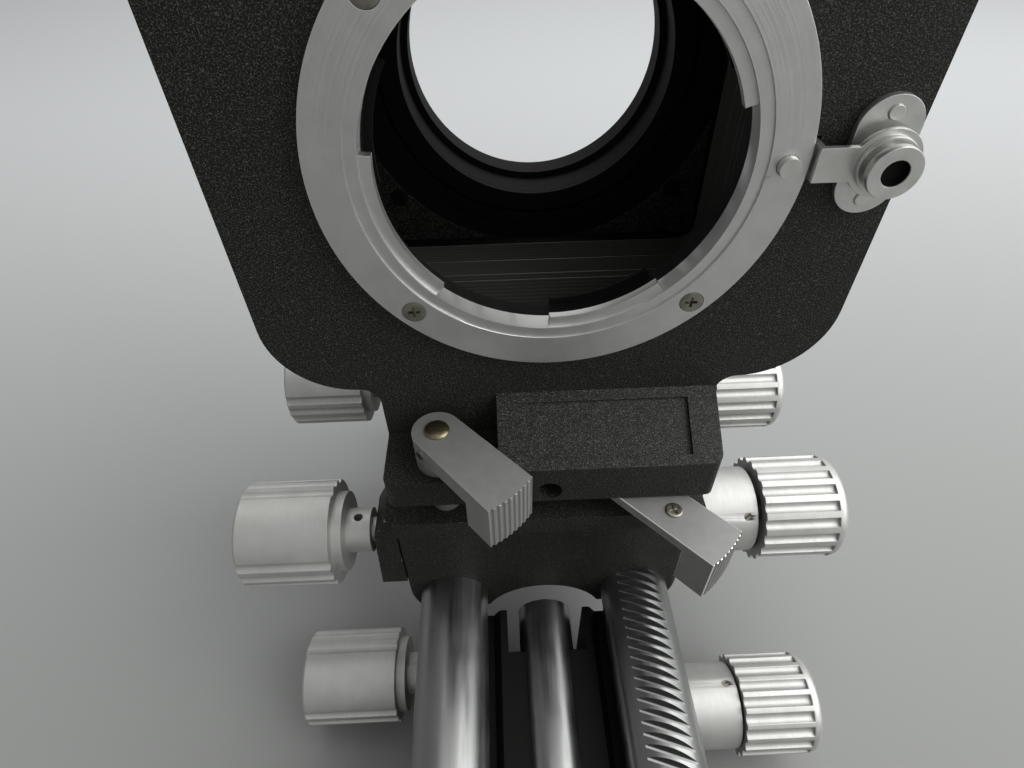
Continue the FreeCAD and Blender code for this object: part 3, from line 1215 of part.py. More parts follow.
foot = prism("XY_Plane", "foot_base", "block_base", [
    ("-foot_half_width", block_front), ("foot_half_width", block_front),
    ("foot_half_width", "block_rear"), ("-foot_half_width", "block_rear")])
rounded(foot, "foot_corner", lambda middle, way: along(way, "z"))
named(cut(
    foot, rod("z", "bush_outer", "foot_base - 1", "block_base + 1", "0", "0"),
    *[rod("z", "foot_screw_head", "foot_base - 1", "foot_base + foot_screw_sink", x, y) for x,
      y in foot_spots],
    *[rod("z", "foot_screw_radius", "foot_base", "block_base + 1", x, y) for x,
      y in foot_spots]), "stage_foot")
group("foot_screws", [
    fuse(rod("z", "foot_screw_head", "foot_base", "foot_base + foot_screw_sink", x, y),
         rod("z", "foot_screw_radius", "foot_base + foot_screw_sink", "block_base + foot_screw_bite", x, y))
    for x, y in foot_spots])
pad = prism("XY_Plane", "0", "foot_base", [
    ("-pad_half_width", block_front + " + pad_margin"), ("pad_half_width", block_front + " + pad_margin"),
    ("pad_half_width", "block_rear - pad_margin"), ("-pad_half_width", "block_rear - pad_margin")])
rounded(pad, "foot_corner - pad_margin", lambda middle, way: along(way, "z"))
named(cut(pad, rod("z", "bush_outer + face_gap", "-1", "foot_base + 1", "0", "0")), "foot_pad")
named(tube("z", "bush_outer", "socket_radius", "0", "block_base", "0", "0"), "tripod_bush")

stage_sleeve_bush = "(stage_knob_start - face_gap)"
named(cut(
    fuse(rod("x", "stage_sleeve_radius", "block_half_width", stage_sleeve_bush, "stage_drive_y",
             stage_drive_z),
         rod("x", "bush_radius", "block_half_width - stage_spigot", "block_half_width", "stage_drive_y",
             stage_drive_z)),
    rod("x", sleeve_bore, "0", "stage_knob_start", "stage_drive_y", stage_drive_z)), "stage_sleeve")
named(tube("x", "bush_radius", sleeve_bore, stage_bush_start, "-" + chamber_half, "stage_drive_y",
           stage_drive_z),
      "stage_bush")
stage_gear = fresh("Part::Feature")
stage_gear.Shape = gear_solid(
    int(number("stage_teeth")), -number("pinion_width") / 2, number("pinion_width") / 2,
    number("stage_drive_y"), number(stage_drive_z), math.pi / 2, 0)
stage_shaft = rod("x", "shaft_radius", stage_bush_start, "stage_knob_start + stage_knob_length - knob_face",
                  "stage_drive_y", stage_drive_z)
named(fuse(stage_gear, stage_shaft), "stage_pinion")
drive_knob("stage_drive_knob", "stage_knob_radius", "stage_knob_start", "stage_knob_length",
           "stage_drive_y",
           stage_drive_z)
lock_knob("stage_lock_knob", "stage_knob_radius", "stage_lock_start", "stage_lock_length", "stage_lock_y",
          "stage_lock_z")
lock_screw("stage_lock_screw", "stage_lock_start", "stage_lock_length", "block_half_width + 1", lock_tip,
           "stage_lock_y", "stage_lock_z")
named(rod("z", "shoe_radius", "stage_lock_z + lock_thread_radius + running_gap",
          "rail_height - rail_diameter / 2 - running_gap", "-rail_spacing / 2", "stage_lock_y"), "stage_shoe")

# ---------------------------------------------------------------------------------------
# Checks and export
# ---------------------------------------------------------------------------------------

doc.removeObject("probe")
doc.recompute()
for thing in doc.Objects:
    if "Invalid" in thing.State or "Error" in thing.State:
        raise RuntimeError("%s (%s) is in state %s" % (thing.Name, thing.Label, thing.State))
for label, thing in nodes.items():
    shape = thing.Shape
    if shape.isNull() or not shape.isValid() or not shape.Solids:
        raise RuntimeError("%s has no valid solid" % label)
os.makedirs("parts", exist_ok=True)
for label, thing in nodes.items():
    thing.Shape.exportStep("parts/%s.step" % label)
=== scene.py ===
import bmesh
import bpy
import math
from mathutils import Euler, Matrix, Vector


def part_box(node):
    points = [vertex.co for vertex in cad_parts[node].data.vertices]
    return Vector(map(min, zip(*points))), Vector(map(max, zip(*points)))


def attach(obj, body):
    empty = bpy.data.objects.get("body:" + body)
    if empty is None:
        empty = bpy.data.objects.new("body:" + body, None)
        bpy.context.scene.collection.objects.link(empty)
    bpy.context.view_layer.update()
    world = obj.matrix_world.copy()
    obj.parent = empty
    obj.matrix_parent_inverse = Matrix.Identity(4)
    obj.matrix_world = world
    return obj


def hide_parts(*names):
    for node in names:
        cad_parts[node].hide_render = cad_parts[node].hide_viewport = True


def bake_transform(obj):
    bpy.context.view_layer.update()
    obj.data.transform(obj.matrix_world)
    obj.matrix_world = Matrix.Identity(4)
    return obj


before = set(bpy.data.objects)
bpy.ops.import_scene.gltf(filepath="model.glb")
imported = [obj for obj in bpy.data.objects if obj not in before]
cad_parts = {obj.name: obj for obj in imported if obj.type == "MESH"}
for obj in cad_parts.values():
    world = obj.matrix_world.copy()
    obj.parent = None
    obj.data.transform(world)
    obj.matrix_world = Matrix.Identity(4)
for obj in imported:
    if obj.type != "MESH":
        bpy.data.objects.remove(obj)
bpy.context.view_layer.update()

# Copy table: the unit stands on a large sheet of pale grey background paper. Its colour is
# painted light: darker on the lens side and paler towards the window.

MM = 0.001
PAPER_SIZE = 6000
PAPER_CUTS = 7
PAINTED_LIGHT_SLOPE = (-0.12, 1, 0)
scene = bpy.context.scene


def colour(code):
    """The linear colour of an sRGB hex value."""
    parts = [int(code[place:place + 2], 16) / 255 for place in (1, 3, 5)]
    return [part / 12.92 if part <= 0.04045 else ((part + 0.055) / 1.055) ** 2.4
            for part in parts] + [1]


def add(tree, kind, settings=None, **inputs):
    """A node with its settings; an input is a value or another node's output."""
    node = tree.nodes.new(kind)
    for setting, value in (settings or {}).items():
        setattr(node, setting, value)
    for socket, value in inputs.items():
        slot = node.inputs[int(socket[1:]) if socket[0] == "_" else socket.replace("_", " ")]
        if isinstance(value, bpy.types.NodeSocket):
            tree.links.new(value, slot)
        else:
            slot.default_value = value
    return node


def finish(name):
    """A new material, its tree, its shader and its Object coordinates."""
    material = bpy.data.materials.new(name)
    material.use_nodes = True
    tree = material.node_tree
    place = add(tree, "ShaderNodeTexCoord").outputs["Object"]
    return material, tree, tree.nodes["Principled BSDF"], place


def clad(piece, stock):
    """Gives a piece one stock all over."""
    piece.data.materials.clear()
    piece.data.materials.append(stock)


def alone():
    """Leaves edit mode with nothing selected."""
    if bpy.context.object and bpy.context.object.mode == "EDIT":
        bpy.ops.object.mode_set(mode="OBJECT")
    bpy.ops.object.select_all(action="DESELECT")


def only(piece):
    """Selects one piece and makes it the active one."""
    alone()
    piece.select_set(True)
    bpy.context.view_layer.objects.active = piece


def edit(piece):
    """Opens one piece in edit mode with all of it selected."""
    only(piece)
    bpy.ops.object.mode_set(mode="EDIT")
    bpy.ops.mesh.select_all(action="SELECT")


alone()
bpy.ops.mesh.primitive_plane_add(size=PAPER_SIZE * MM)
paper = bpy.context.object
paper.name = "paper_sheet"
edit(paper)
bpy.ops.mesh.subdivide(number_cuts=PAPER_CUTS)
alone()

paper_stock, tree, shader, place = finish("grey_background_paper")
# Uncoated matt grey paper without grain; painted light makes it paler towards the window.
slope = add(tree, "ShaderNodeVectorMath", {"operation": "DOT_PRODUCT"}, _0=place, _1=PAINTED_LIGHT_SLOPE)
shade = add(tree, "ShaderNodeMapRange", {"interpolation_type": "SMOOTHERSTEP"},
            Value=slope.outputs["Value"], From_Min=-0.2, From_Max=0.55, To_Min=0, To_Max=1)
tone = add(tree, "ShaderNodeMix", {"data_type": "RGBA"},
           _0=shade.outputs[0], _6=colour("#7d7e7c"), _7=colour("#bdbfc0"))
tree.links.new(tone.outputs[2], shader.inputs["Base Color"])
shader.inputs["Roughness"].default_value = 0.9
clad(paper, paper_stock)

# Window light: a broad soft light from above and behind the camera standard, a second one from
# the right, and the room's own grey light from all round, weaker on the left. Each window has
# its place and its side in metres and its power in watts.

WINDOWS = (
    ("window_above", (0.15, 0.45, 0.95), 1.0, 5),
    ("window_right", (0.62, -0.12, 0.55), 0.8, 7),
)
WINDOW_AIM = Vector((0, 0.02, 0.06))

world = bpy.data.worlds.new("grey_room")
scene.world = world
world.use_nodes = True
room = world.node_tree.nodes["Background"]
room.inputs["Color"].default_value = colour("#cfd0cf")
around = add(world.node_tree, "ShaderNodeTexCoord").outputs["Generated"]
side = add(world.node_tree, "ShaderNodeSeparateXYZ", Vector=around)
glow = add(world.node_tree, "ShaderNodeMapRange", Value=side.outputs["X"],
           From_Min=-0.7, From_Max=0.6, To_Min=0.45, To_Max=1.25)
world.node_tree.links.new(glow.outputs[0], room.inputs["Strength"])
for name, spot, size, power in WINDOWS:
    lamp = bpy.data.lights.new(name, "AREA")
    lamp.shape = "SQUARE"
    lamp.size = size
    lamp.energy = power
    holder = bpy.data.objects.new(name, lamp)
    scene.collection.objects.link(holder)
    holder.location = spot
    holder.rotation_euler = (WINDOW_AIM - Vector(spot)).to_track_quat("-Z", "Y").to_euler()

# Camera: close above the lens standard, looking down along the rails through a wide lens.
# Its place is in millimetres and its angles are in radians.

CAMERA_SPOT = (-7.65, -39.94, 162.26)
CAMERA_YAW = 0.023318
CAMERA_PITCH = 0.77498
CAMERA_ROLL = 0.021867
CAMERA_LENS = 21.95
SENSOR_WIDTH = 36
NEAREST_SEEN = 5

camera = bpy.data.cameras.new("camera")
camera.lens = CAMERA_LENS
camera.sensor_width = SENSOR_WIDTH
camera.clip_start = NEAREST_SEEN * MM
viewer = bpy.data.objects.new("camera", camera)
scene.collection.objects.link(viewer)
viewer.location = Vector(CAMERA_SPOT) * MM
level = Euler((math.pi / 2 - CAMERA_PITCH, 0, -CAMERA_YAW)).to_matrix()
viewer.rotation_euler = (level @ Matrix.Rotation(-CAMERA_ROLL, 3, "Z")).to_euler()
scene.camera = viewer
scene.view_settings.view_transform = "Standard"

# Guide rails and centre rod: ground steel bar, hard chromed and polished. The right rail has
# a rack milled along its top with slanted teeth, the rod a straight one along its underside.

MODULE = 0.625
TOOTH_PITCH = math.pi * MODULE
TOOTH_DEPTH = 1.25 * MODULE
TOOTH_SLANT = math.radians(20)
FLANK = math.tan(math.radians(20))
CUTTER_TOP = 1.3 * TOOTH_DEPTH
# Where one gap of each rack lies along Y, and how the racks keep clear of the bars' ends.
FIRST_GAP = {"right_rail": 37, "centre_rod": 7.5}
RACK_START = 8
RACK_STOP = 97
BAR_END = 3
# How much of a face's normal has to point up for it to count as level.
FACING = 0.9
# Each way's direction, and the turn that lays an upright bar along it.
WAYS = {
    "X": (Vector((1, 0, 0)), (0, math.pi / 2, 0)),
    "Y": (Vector((0, 1, 0)), (-math.pi / 2, 0, 0)),
    "Z": (Vector((0, 0, 1)), (0, 0, 0)),
}


def span(node):
    """A CAD node's lowest and highest corner in millimetres."""
    low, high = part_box(node)
    return low / MM, high / MM


def slide(x, y, z):
    """A move in millimetres."""
    return Matrix.Translation(Vector((x, y, z)) * MM)


def level_faces(up):
    """In edit mode, selects the faces that look up, or down where up is -1."""
    shell = bmesh.from_edit_mesh(bpy.context.object.data)
    bpy.ops.mesh.select_mode(type="FACE")
    bpy.ops.mesh.select_all(action="DESELECT")
    for face in shell.faces:
        face.select_set(face.normal.z * up > FACING)
    bmesh.update_edit_mesh(bpy.context.object.data)


def face_out():
    """In edit mode, turns all faces outwards."""
    bpy.ops.mesh.select_all(action="SELECT")
    bpy.ops.mesh.normals_make_consistent(inside=False)


def settle(name):
    """Names the piece just added and fixes its place in its mesh."""
    piece = bpy.context.object
    piece.name = name
    piece.data.name = name
    bpy.ops.object.transform_apply(location=True, rotation=True, scale=True)
    return piece


def bar(name, way, radius, start, end, centre, facets):
    """A round bar from start to end along a way; centre is any point on its axis."""
    alone()
    along, turn = WAYS[way]
    middle = Vector(centre) + along * ((start + end) / 2 - Vector(centre).dot(along))
    bpy.ops.mesh.primitive_cylinder_add(
        vertices=facets, radius=radius * MM, depth=(end - start) * MM,
        location=middle * MM, rotation=turn)
    return settle(name)


def block(name, low, high):
    """A square block between its lowest and highest corner."""
    alone()
    low, high = Vector(low), Vector(high)
    bpy.ops.mesh.primitive_cube_add(size=MM, location=(low + high) / 2 * MM, scale=high - low)
    return settle(name)


def joined(pieces):
    """Several loose meshes as one object."""
    alone()
    for piece in pieces:
        piece.select_set(True)
    bpy.context.view_layer.objects.active = pieces[0]
    if len(pieces) > 1:
        bpy.ops.object.join()
    return pieces[0]


def carve(piece, *tools):
    """Cuts tools that don't touch each other out of a piece, and clears them away."""
    tool = joined(tools)
    only(piece)
    step = piece.modifiers.new("carve", "BOOLEAN")
    step.operation = "DIFFERENCE"
    step.solver = "EXACT"
    step.object = tool
    bpy.ops.object.modifier_apply(modifier=step.name)
    bpy.data.objects.remove(tool)


def copies(piece, moves):
    """The piece moved by each matrix, each copy with a mesh of its own."""
    made = []
    for move in moves:
        twin = bpy.data.objects.new(piece.name, piece.data.copy())
        scene.collection.objects.link(twin)
        twin.data.transform(move)
        made.append(twin)
    bpy.data.objects.remove(piece)
    return made


def ease(piece, width, segments=2, sharp=35, stock=-1):
    """Rounds sharp edges over, in a stock of their own if given, and shades curves smooth."""
    only(piece)
    if width:
        step = piece.modifiers.new("ease", "BEVEL")
        step.material = stock
        step.width = width * MM
        step.segments = segments
        step.limit_method = "ANGLE"
        step.angle_limit = math.radians(sharp)
        step.use_clamp_overlap = True
        bpy.ops.object.modifier_apply(modifier=step.name)
    bpy.ops.object.shade_smooth_by_angle(angle=math.radians(sharp))
    level = piece.modifiers.new("level", "WEIGHTED_NORMAL")
    level.keep_sharp = True
    bpy.ops.object.modifier_apply(modifier=level.name)
    return piece


def fitted(piece, body, slot, stock, *nodes):
    """A finished piece: its stock, the body it rides on, and the CAD nodes it stands for."""
    clad(piece, stock)
    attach(piece, body)
    if nodes:
        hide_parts(*nodes)
    return piece


def milled_rack(rail, node, up):
    """Mills the gaps of a rack into a rail; up is 1 on its top and -1 on its underside."""
    low, high = span(node)
    radius = (high.x - low.x) / 2
    middle = (low.x + high.x) / 2
    pitch_line = (high.z if up > 0 else low.z) - up * MODULE
    half_gap = TOOTH_PITCH / 4
    cutter = block("gap", (-radius, -half_gap, -TOOTH_DEPTH), (radius, half_gap, CUTTER_TOP))
    edit(cutter)
    for side, rise in ((1, CUTTER_TOP), (-1, -TOOTH_DEPTH)):
        level_faces(side)
        bpy.ops.transform.resize(value=(1, 1 + rise * FLANK / half_gap, 1))
    alone()
    skew = Matrix.Identity(4)
    skew[1][0] = -math.tan(TOOTH_SLANT if node == "right_rail" else 0)
    flip = Matrix.Diagonal((1, 1, up, 1))
    first = math.ceil((low.y + RACK_START - FIRST_GAP[node]) / TOOTH_PITCH)
    last = math.floor((min(high.y - BAR_END, RACK_STOP) - FIRST_GAP[node]) / TOOTH_PITCH)
    moves = [slide(middle, FIRST_GAP[node] + step * TOOTH_PITCH, pitch_line) @ skew @ flip
             for step in range(first, last + 1)]
    gaps = joined(copies(cutter, moves))
    edit(gaps)
    face_out()
    carve(rail, gaps)


hard_chrome, tree, shader, place = finish("polished_hard_chrome")
# Hard chrome on ground bar: a cool dark mirror, hazed by polishing lines along the bar and by
# smears 6 mm across. The lines are drawn 0.4 mm wide so that they show.
scratch = add(tree, "ShaderNodeTexNoise", Vector=add(
    tree, "ShaderNodeMapping", Vector=place, Scale=(2600, 90, 2600)).outputs[0], Scale=1, Detail=3)
smear = add(tree, "ShaderNodeTexNoise", Vector=place, Scale=160, Detail=4)
haze = add(tree, "ShaderNodeMath", {"operation": "MULTIPLY"},
           _0=scratch.outputs["Fac"], _1=smear.outputs["Fac"])
gloss = add(tree, "ShaderNodeMapRange", Value=haze.outputs[0],
            From_Min=0.15, From_Max=0.45, To_Min=0.28, To_Max=0.44)
tree.links.new(gloss.outputs[0], shader.inputs["Roughness"])
shader.inputs["Metallic"].default_value = 1
shader.inputs["Base Color"].default_value = colour("#8f908f")

for node in ("left_rail", "right_rail", "centre_rod"):
    low, high = span(node)
    rail = bar(node + "_bar", "Y", (high.x - low.x) / 2, low.y, high.y, (low + high) / 2,
               facets=144)
    if node != "left_rail":
        milled_rack(rail, node, 1 if node == "right_rail" else -1)
    ease(rail, 0)
    fitted(rail, "rails", "chrome", hard_chrome, node)

# End plates: flat castings in baked black crinkle enamel, drilled through for the screws that
# hold the rails. The countersunk steel screws have a plain slot.

RAIL_X = 19.75
RAIL_RADIUS = 7.25
ROD_DROP = 7.5
# A CAD surface's corners this close are one, and its faces this nearly level are one.
MERGED = 0.002
LEVEL_WITHIN = math.radians(0.6)
CAST_SHARP = 30


def enamel(name, worn):
    """Baked crinkle enamel; the higher worn is, the more of the metal is bare."""
    material, tree, shader, place = finish(name)
    # A dull black peppered with paler specks 0.2 mm apart, and larger ones of dust between them.
    wrinkle = add(tree, "ShaderNodeTexNoise", Vector=place, Scale=5000, Detail=2, Roughness=0.7)
    dust = add(tree, "ShaderNodeTexNoise", Vector=place, Scale=2100, Detail=4, Roughness=0.8)
    cloud = add(tree, "ShaderNodeTexNoise", Vector=place, Scale=60, Detail=3)
    speck = add(tree, "ShaderNodeMapRange", Value=wrinkle.outputs["Fac"],
                From_Min=0.52, From_Max=0.8)
    fleck = add(tree, "ShaderNodeMapRange", Value=dust.outputs["Fac"],
                From_Min=0.58, From_Max=0.74, To_Max=0.8)
    pale = add(tree, "ShaderNodeMath", {"operation": "MAXIMUM"},
               _0=speck.outputs[0], _1=fleck.outputs[0])
    tone = add(tree, "ShaderNodeMix", {"data_type": "RGBA"},
               _0=pale.outputs[0], _6=colour("#0e0f0d"), _7=colour("#72736d"))
    # Where it has worn off, the cast metal shows as grey patches about 2 mm across.
    rub = add(tree, "ShaderNodeTexNoise", Vector=place, Scale=420, Detail=5, Roughness=0.7)
    bare = add(tree, "ShaderNodeMapRange", Value=rub.outputs["Fac"],
               From_Min=0.72 - worn, From_Max=0.75 - worn)
    skin = add(tree, "ShaderNodeMix", {"data_type": "RGBA"},
               _0=bare.outputs[0], _6=tone.outputs[2], _7=colour("#8a8983"))
    tree.links.new(skin.outputs[2], shader.inputs["Base Color"])
    gloss = add(tree, "ShaderNodeMapRange", Value=cloud.outputs["Fac"],
                From_Min=0.3, From_Max=0.7, To_Min=0.5, To_Max=0.65)
    tree.links.new(gloss.outputs[0], shader.inputs["Roughness"])
    relief = add(tree, "ShaderNodeBump", Height=wrinkle.outputs["Fac"],
                 Strength=0.5, Distance=0.0001)
    tree.links.new(relief.outputs["Normal"], shader.inputs["Normal"])
    shader.inputs["Specular IOR Level"].default_value = 0.25
    return material


crinkle_enamel = enamel("black_crinkle_enamel", -0.1)
worn_enamel = enamel("worn_crinkle_enamel", 0.13)

screw_steel, tree, shader, place = finish("blued_screw_steel")
# Turned mild steel, oil blued and rubbed: a dark grey metal, clouded every millimetre or so.
rub = add(tree, "ShaderNodeTexNoise", Vector=place, Scale=900, Detail=3)
tone = add(tree, "ShaderNodeMix", {"data_type": "RGBA"},
           _0=rub.outputs["Fac"], _6=colour("#706e66"), _7=colour("#aaa79c"))
tree.links.new(tone.outputs[2], shader.inputs["Base Color"])
gloss = add(tree, "ShaderNodeMapRange", Value=rub.outputs["Fac"], To_Min=0.28, To_Max=0.45)
tree.links.new(gloss.outputs[0], shader.inputs["Roughness"])
shader.inputs["Metallic"].default_value = 1


def cast(node, width, segments=2):
    """A node's surface joined up, its flat faces made whole and its edges rounded over."""
    piece = bpy.data.objects.new(node + "_piece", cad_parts[node].data.copy())
    scene.collection.objects.link(piece)
    edit(piece)
    bpy.ops.mesh.remove_doubles(threshold=MERGED * MM)
    bpy.ops.mesh.dissolve_limited(angle_limit=LEVEL_WITHIN)
    bpy.ops.mesh.customdata_custom_splitnormals_clear()
    alone()
    return ease(piece, width, segments, CAST_SHARP)


def recess(piece, way, spots, width, arm, depth, turns=(0, 90)):
    """Cuts a slot, or two that cross, into the screw heads at the given spots."""
    for turn in turns:
        tools = []
        for spot in spots:
            tool = block("slot", (-arm, -width / 2, -depth), (arm, width / 2, depth))
            facing = Euler(WAYS[way][1]).to_matrix().to_4x4()
            facing = facing @ Matrix.Rotation(math.radians(turn), 4, "Z")
            tool.data.transform(slide(*spot) @ facing)
            tools.append(tool)
        carve(piece, *tools)
    return piece


def casting(node, body, width):
    """An enamelled casting, a little worn along its edges."""
    piece = fitted(cast(node, 0), body, "black_crinkle", crinkle_enamel, node)
    piece.data.materials.append(worn_enamel)
    ease(piece, width, segments=3, sharp=CAST_SHARP, stock=1)


for node in ("front_end_plate", "rear_end_plate"):
    casting(node, "rails", 0.5)

low, high = span("end_screws")
rail_line = span("left_rail")[0].z + RAIL_RADIUS
heads = [(-RAIL_X, low.y, rail_line), (RAIL_X, low.y, rail_line),
         (0, low.y, rail_line - ROD_DROP),
         (-RAIL_X, high.y, rail_line), (RAIL_X, high.y, rail_line)]
screws = cast("end_screws", 0.08, segments=1)
recess(screws, "Y", heads, width=0.8, arm=4, depth=0.9, turns=(20,))
fitted(screws, "rails", "screw_steel", screw_steel, "end_screws")

# Carriages, clamp blocks, shift plate: die castings machined where they slide, then enamelled
# in the same black crinkle.

for node, body in (("front_carriage", "front_standard"), ("rear_carriage", "rear_standard"),
                   ("front_clamp_block", "front_standard"), ("rear_clamp_block", "rear_standard"),
                   ("shift_plate", "shift")):
    casting(node, body, 0.35)

# Brass and steel inside the castings: bushes and clamp shoes turned from brass, and steel
# shafts with the pinions cut on them.

turned_brass, tree, shader, place = finish("turned_brass")
# Free-cutting brass gone dull with age: a brown-grey metal with tool marks 0.6 mm apart.
marks = add(tree, "ShaderNodeTexNoise", Vector=place, Scale=1800, Detail=2)
tone = add(tree, "ShaderNodeMix", {"data_type": "RGBA"},
           _0=marks.outputs["Fac"], _6=colour("#6e6651"), _7=colour("#958b70"))
tree.links.new(tone.outputs[2], shader.inputs["Base Color"])
shader.inputs["Metallic"].default_value = 1
shader.inputs["Roughness"].default_value = 0.34

for node in ("front_bush", "rear_bush", "stage_bush", "front_shoe", "rear_shoe", "stage_shoe",
             "tripod_bush"):
    clad(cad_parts[node], turned_brass)
for node in ("front_pinion", "rear_pinion", "stage_pinion", "swing_screw"):
    clad(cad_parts[node], screw_steel)

# Drive knobs and bearing sleeves: turned from aluminium bar, satin anodised clear. Twenty
# flutes are milled along each knob up to a plain rim, and a set screw locks each sleeve.

KNOB_EDGE = 0.18
# How far a cutter reaches past the surface that it cuts.
PAST = 1
SET_RADIUS = 0.85
SET_GAP = 0.05
SET_FOOT = 4
SET_SUNK = 0.35

satin_aluminium, tree, shader, place = finish("satin_anodised_aluminium")
# Clear anodising on a turned surface: a pale satin grey, faintly stained, with rings 0.3 mm
# apart round the axis.
rings = add(tree, "ShaderNodeTexNoise", Vector=add(
    tree, "ShaderNodeMapping", Vector=place, Scale=(3400, 260, 260)).outputs[0], Scale=1, Detail=3)
stain = add(tree, "ShaderNodeTexNoise", Vector=place, Scale=240, Detail=5)
tone = add(tree, "ShaderNodeMix", {"data_type": "RGBA"},
           _0=stain.outputs["Fac"], _6=colour("#b4b4b1"), _7=colour("#cacac7"))
tree.links.new(tone.outputs[2], shader.inputs["Base Color"])
gloss = add(tree, "ShaderNodeMapRange", Value=rings.outputs["Fac"],
            From_Min=0.3, From_Max=0.7, To_Min=0.48, To_Max=0.6)
tree.links.new(gloss.outputs[0], shader.inputs["Roughness"])
relief = add(tree, "ShaderNodeBump", Height=rings.outputs["Fac"], Strength=0.05, Distance=0.00003)
tree.links.new(relief.outputs["Normal"], shader.inputs["Normal"])
shader.inputs["Metallic"].default_value = 0.9

for node, body in (("front_drive_knob", "front_drive"), ("rear_drive_knob", "rear_drive"),
                   ("stage_drive_knob", "stage_drive")):
    fitted(cast(node, KNOB_EDGE), body, "satin_aluminium", satin_aluminium, node)

# Each sleeve's set screw stands at its own x, turned round the shaft by so many degrees.
for node, body, x, tilt in (("front_bearing", "front_standard", 41.8, 46),
                            ("rear_bearing", "rear_standard", 41.8, 46),
                            ("stage_sleeve", "stage", 37.6, -9)):
    low, high = span(node)
    sleeve = cast(node, 0.3, segments=3)
    middle = (low + high) / 2
    foot = middle.z + SET_FOOT
    top = high.z - SET_SUNK
    lean = slide(*middle) @ Matrix.Rotation(math.radians(tilt), 4, "X") @ slide(*-middle)
    hole = bar("hole", "Z", SET_RADIUS, foot, high.z + PAST, (x, middle.y, 0), facets=32)
    hole.data.transform(lean)
    carve(sleeve, hole)
    fitted(ease(sleeve, 0), body, "satin_aluminium", satin_aluminium, node)
    plug = bar(node + "_set_screw", "Z", SET_RADIUS - SET_GAP, foot, top, (x, middle.y, 0),
               facets=32)
    recess(plug, "Z", [(x, middle.y, top)], width=0.35, arm=2, depth=0.4, turns=(35,))
    plug.data.transform(lean)
    fitted(ease(plug, 0.08, segments=1), body, "screw_steel", screw_steel)

# Lock knobs and their screws: the same aluminium, with flutes in three groups, on screws
# whose bare shanks are cross drilled for a tommy bar.

for node, body in (("front_lock_knob", "front_lock"), ("rear_lock_knob", "rear_lock"),
                   ("stage_lock_knob", "stage_lock")):
    fitted(cast(node, KNOB_EDGE), body, "satin_aluminium", satin_aluminium, node)
    screw = node.replace("knob", "screw")
    fitted(cast(screw, 0.1, segments=1), body, "screw_steel", satin_aluminium, screw)

# Head and rear plate: the front plate and its block are one casting in black crinkle enamel,
# with a bare shallow recess on the slope and a tapped hole for a set screw in its face. The
# rear plate is cast and enamelled in the same way.

casting("front_plate", "head", 0.4)
casting("rear_plate", "rear_standard", 0.4)

# Clamp levers: milled from aluminium bar, anodised dark grey, with a fluted arc at the end
# for the thumb. The swing lever turns on a domed brass rivet and has a set screw in its hub,
# and the other is held by a cross-head screw.

SWING_PIVOT = (-18.2, 26)
SHIFT_PIVOT = (10.9, 28)
LEVER_EDGE = 0.16
FLUTES = 9
FLUTE_RADIUS = 0.38
# How deep the rivet and the cross-head screw are seated in their levers.
SEATED = 0.6
RIVET_RADIUS = 2.05
RIVET_RIM = 0.1
RIVET_RISE = 0.6
DOME_RINGS = 5
HUB_RADIUS = 4.2
HUB_TURN = math.radians(230)
HUB_SCREW_RADIUS = 0.95
HUB_SCREW_LENGTH = 0.9
HUB_SCREW_RISE = 0.05
HUB_SCREW_DROP = 2.2
LEVER_SCREW = (20.1, 18.3)
LEVER_SCREW_RADIUS = 1.45
LEVER_SCREW_RISE = 0.35

grey_anodised, tree, shader, place = finish("grey_anodised_aluminium")
# Blasted and anodised bar: an even, slightly warm grey, clouded a little every 2 mm.
rub = add(tree, "ShaderNodeTexNoise", Vector=place, Scale=520, Detail=5)
tone = add(tree, "ShaderNodeMix", {"data_type": "RGBA"},
           _0=rub.outputs["Fac"], _6=colour("#8b8b89"), _7=colour("#a09f9d"))
tree.links.new(tone.outputs[2], shader.inputs["Base Color"])
shader.inputs["Metallic"].default_value = 0.75
shader.inputs["Roughness"].default_value = 0.55

painted_highlight_edge, tree, shader, place = finish("painted_highlight_lever_edge")
# Painted highlight: a near-white metal that makes the edges bright lines, with nicks 0.7 mm apart.
nick = add(tree, "ShaderNodeTexNoise", Vector=place, Scale=1500, Detail=2)
gloss = add(tree, "ShaderNodeMapRange", Value=nick.outputs["Fac"], To_Min=0.35, To_Max=0.5)
tree.links.new(gloss.outputs[0], shader.inputs["Roughness"])
shader.inputs["Base Color"].default_value = colour("#f0f0ee")
shader.inputs["Metallic"].default_value = 0.6

# Each lever's pivot, the reach and direction (degrees) of its fluted arc, and half its width.
for node, body, pivot, reach, angle, half in (
        ("swing_lever", "swing_clamp", SWING_PIVOT, 17.6, -48.5, 4.4),
        ("shift_lever", "shift_clamp", SHIFT_PIVOT, 24.0, -46.5, 4.3)):
    low, high = span(node)
    lever = fitted(cast(node, 0), body, "satin_steel", grey_anodised, node)
    # Painted highlight: the edges rounded over below take the near-white edge stock.
    lever.data.materials.append(painted_highlight_edge)
    ease(lever, LEVER_EDGE, segments=1, sharp=50, stock=1)
    spread = math.degrees(math.asin(half / reach))
    cutters = []
    for step in range(FLUTES):
        turn = math.radians(angle + spread * (2 * (step + 0.5) / FLUTES - 1))
        spot = (pivot[0] + (reach + LEVER_EDGE) * math.cos(turn),
                pivot[1] + (reach + LEVER_EDGE) * math.sin(turn), 0)
        cutters.append(bar("flute", "Z", FLUTE_RADIUS, low.z - PAST, high.z + PAST, spot,
                           facets=16))
    carve(lever, *cutters)
    ease(lever, 0)


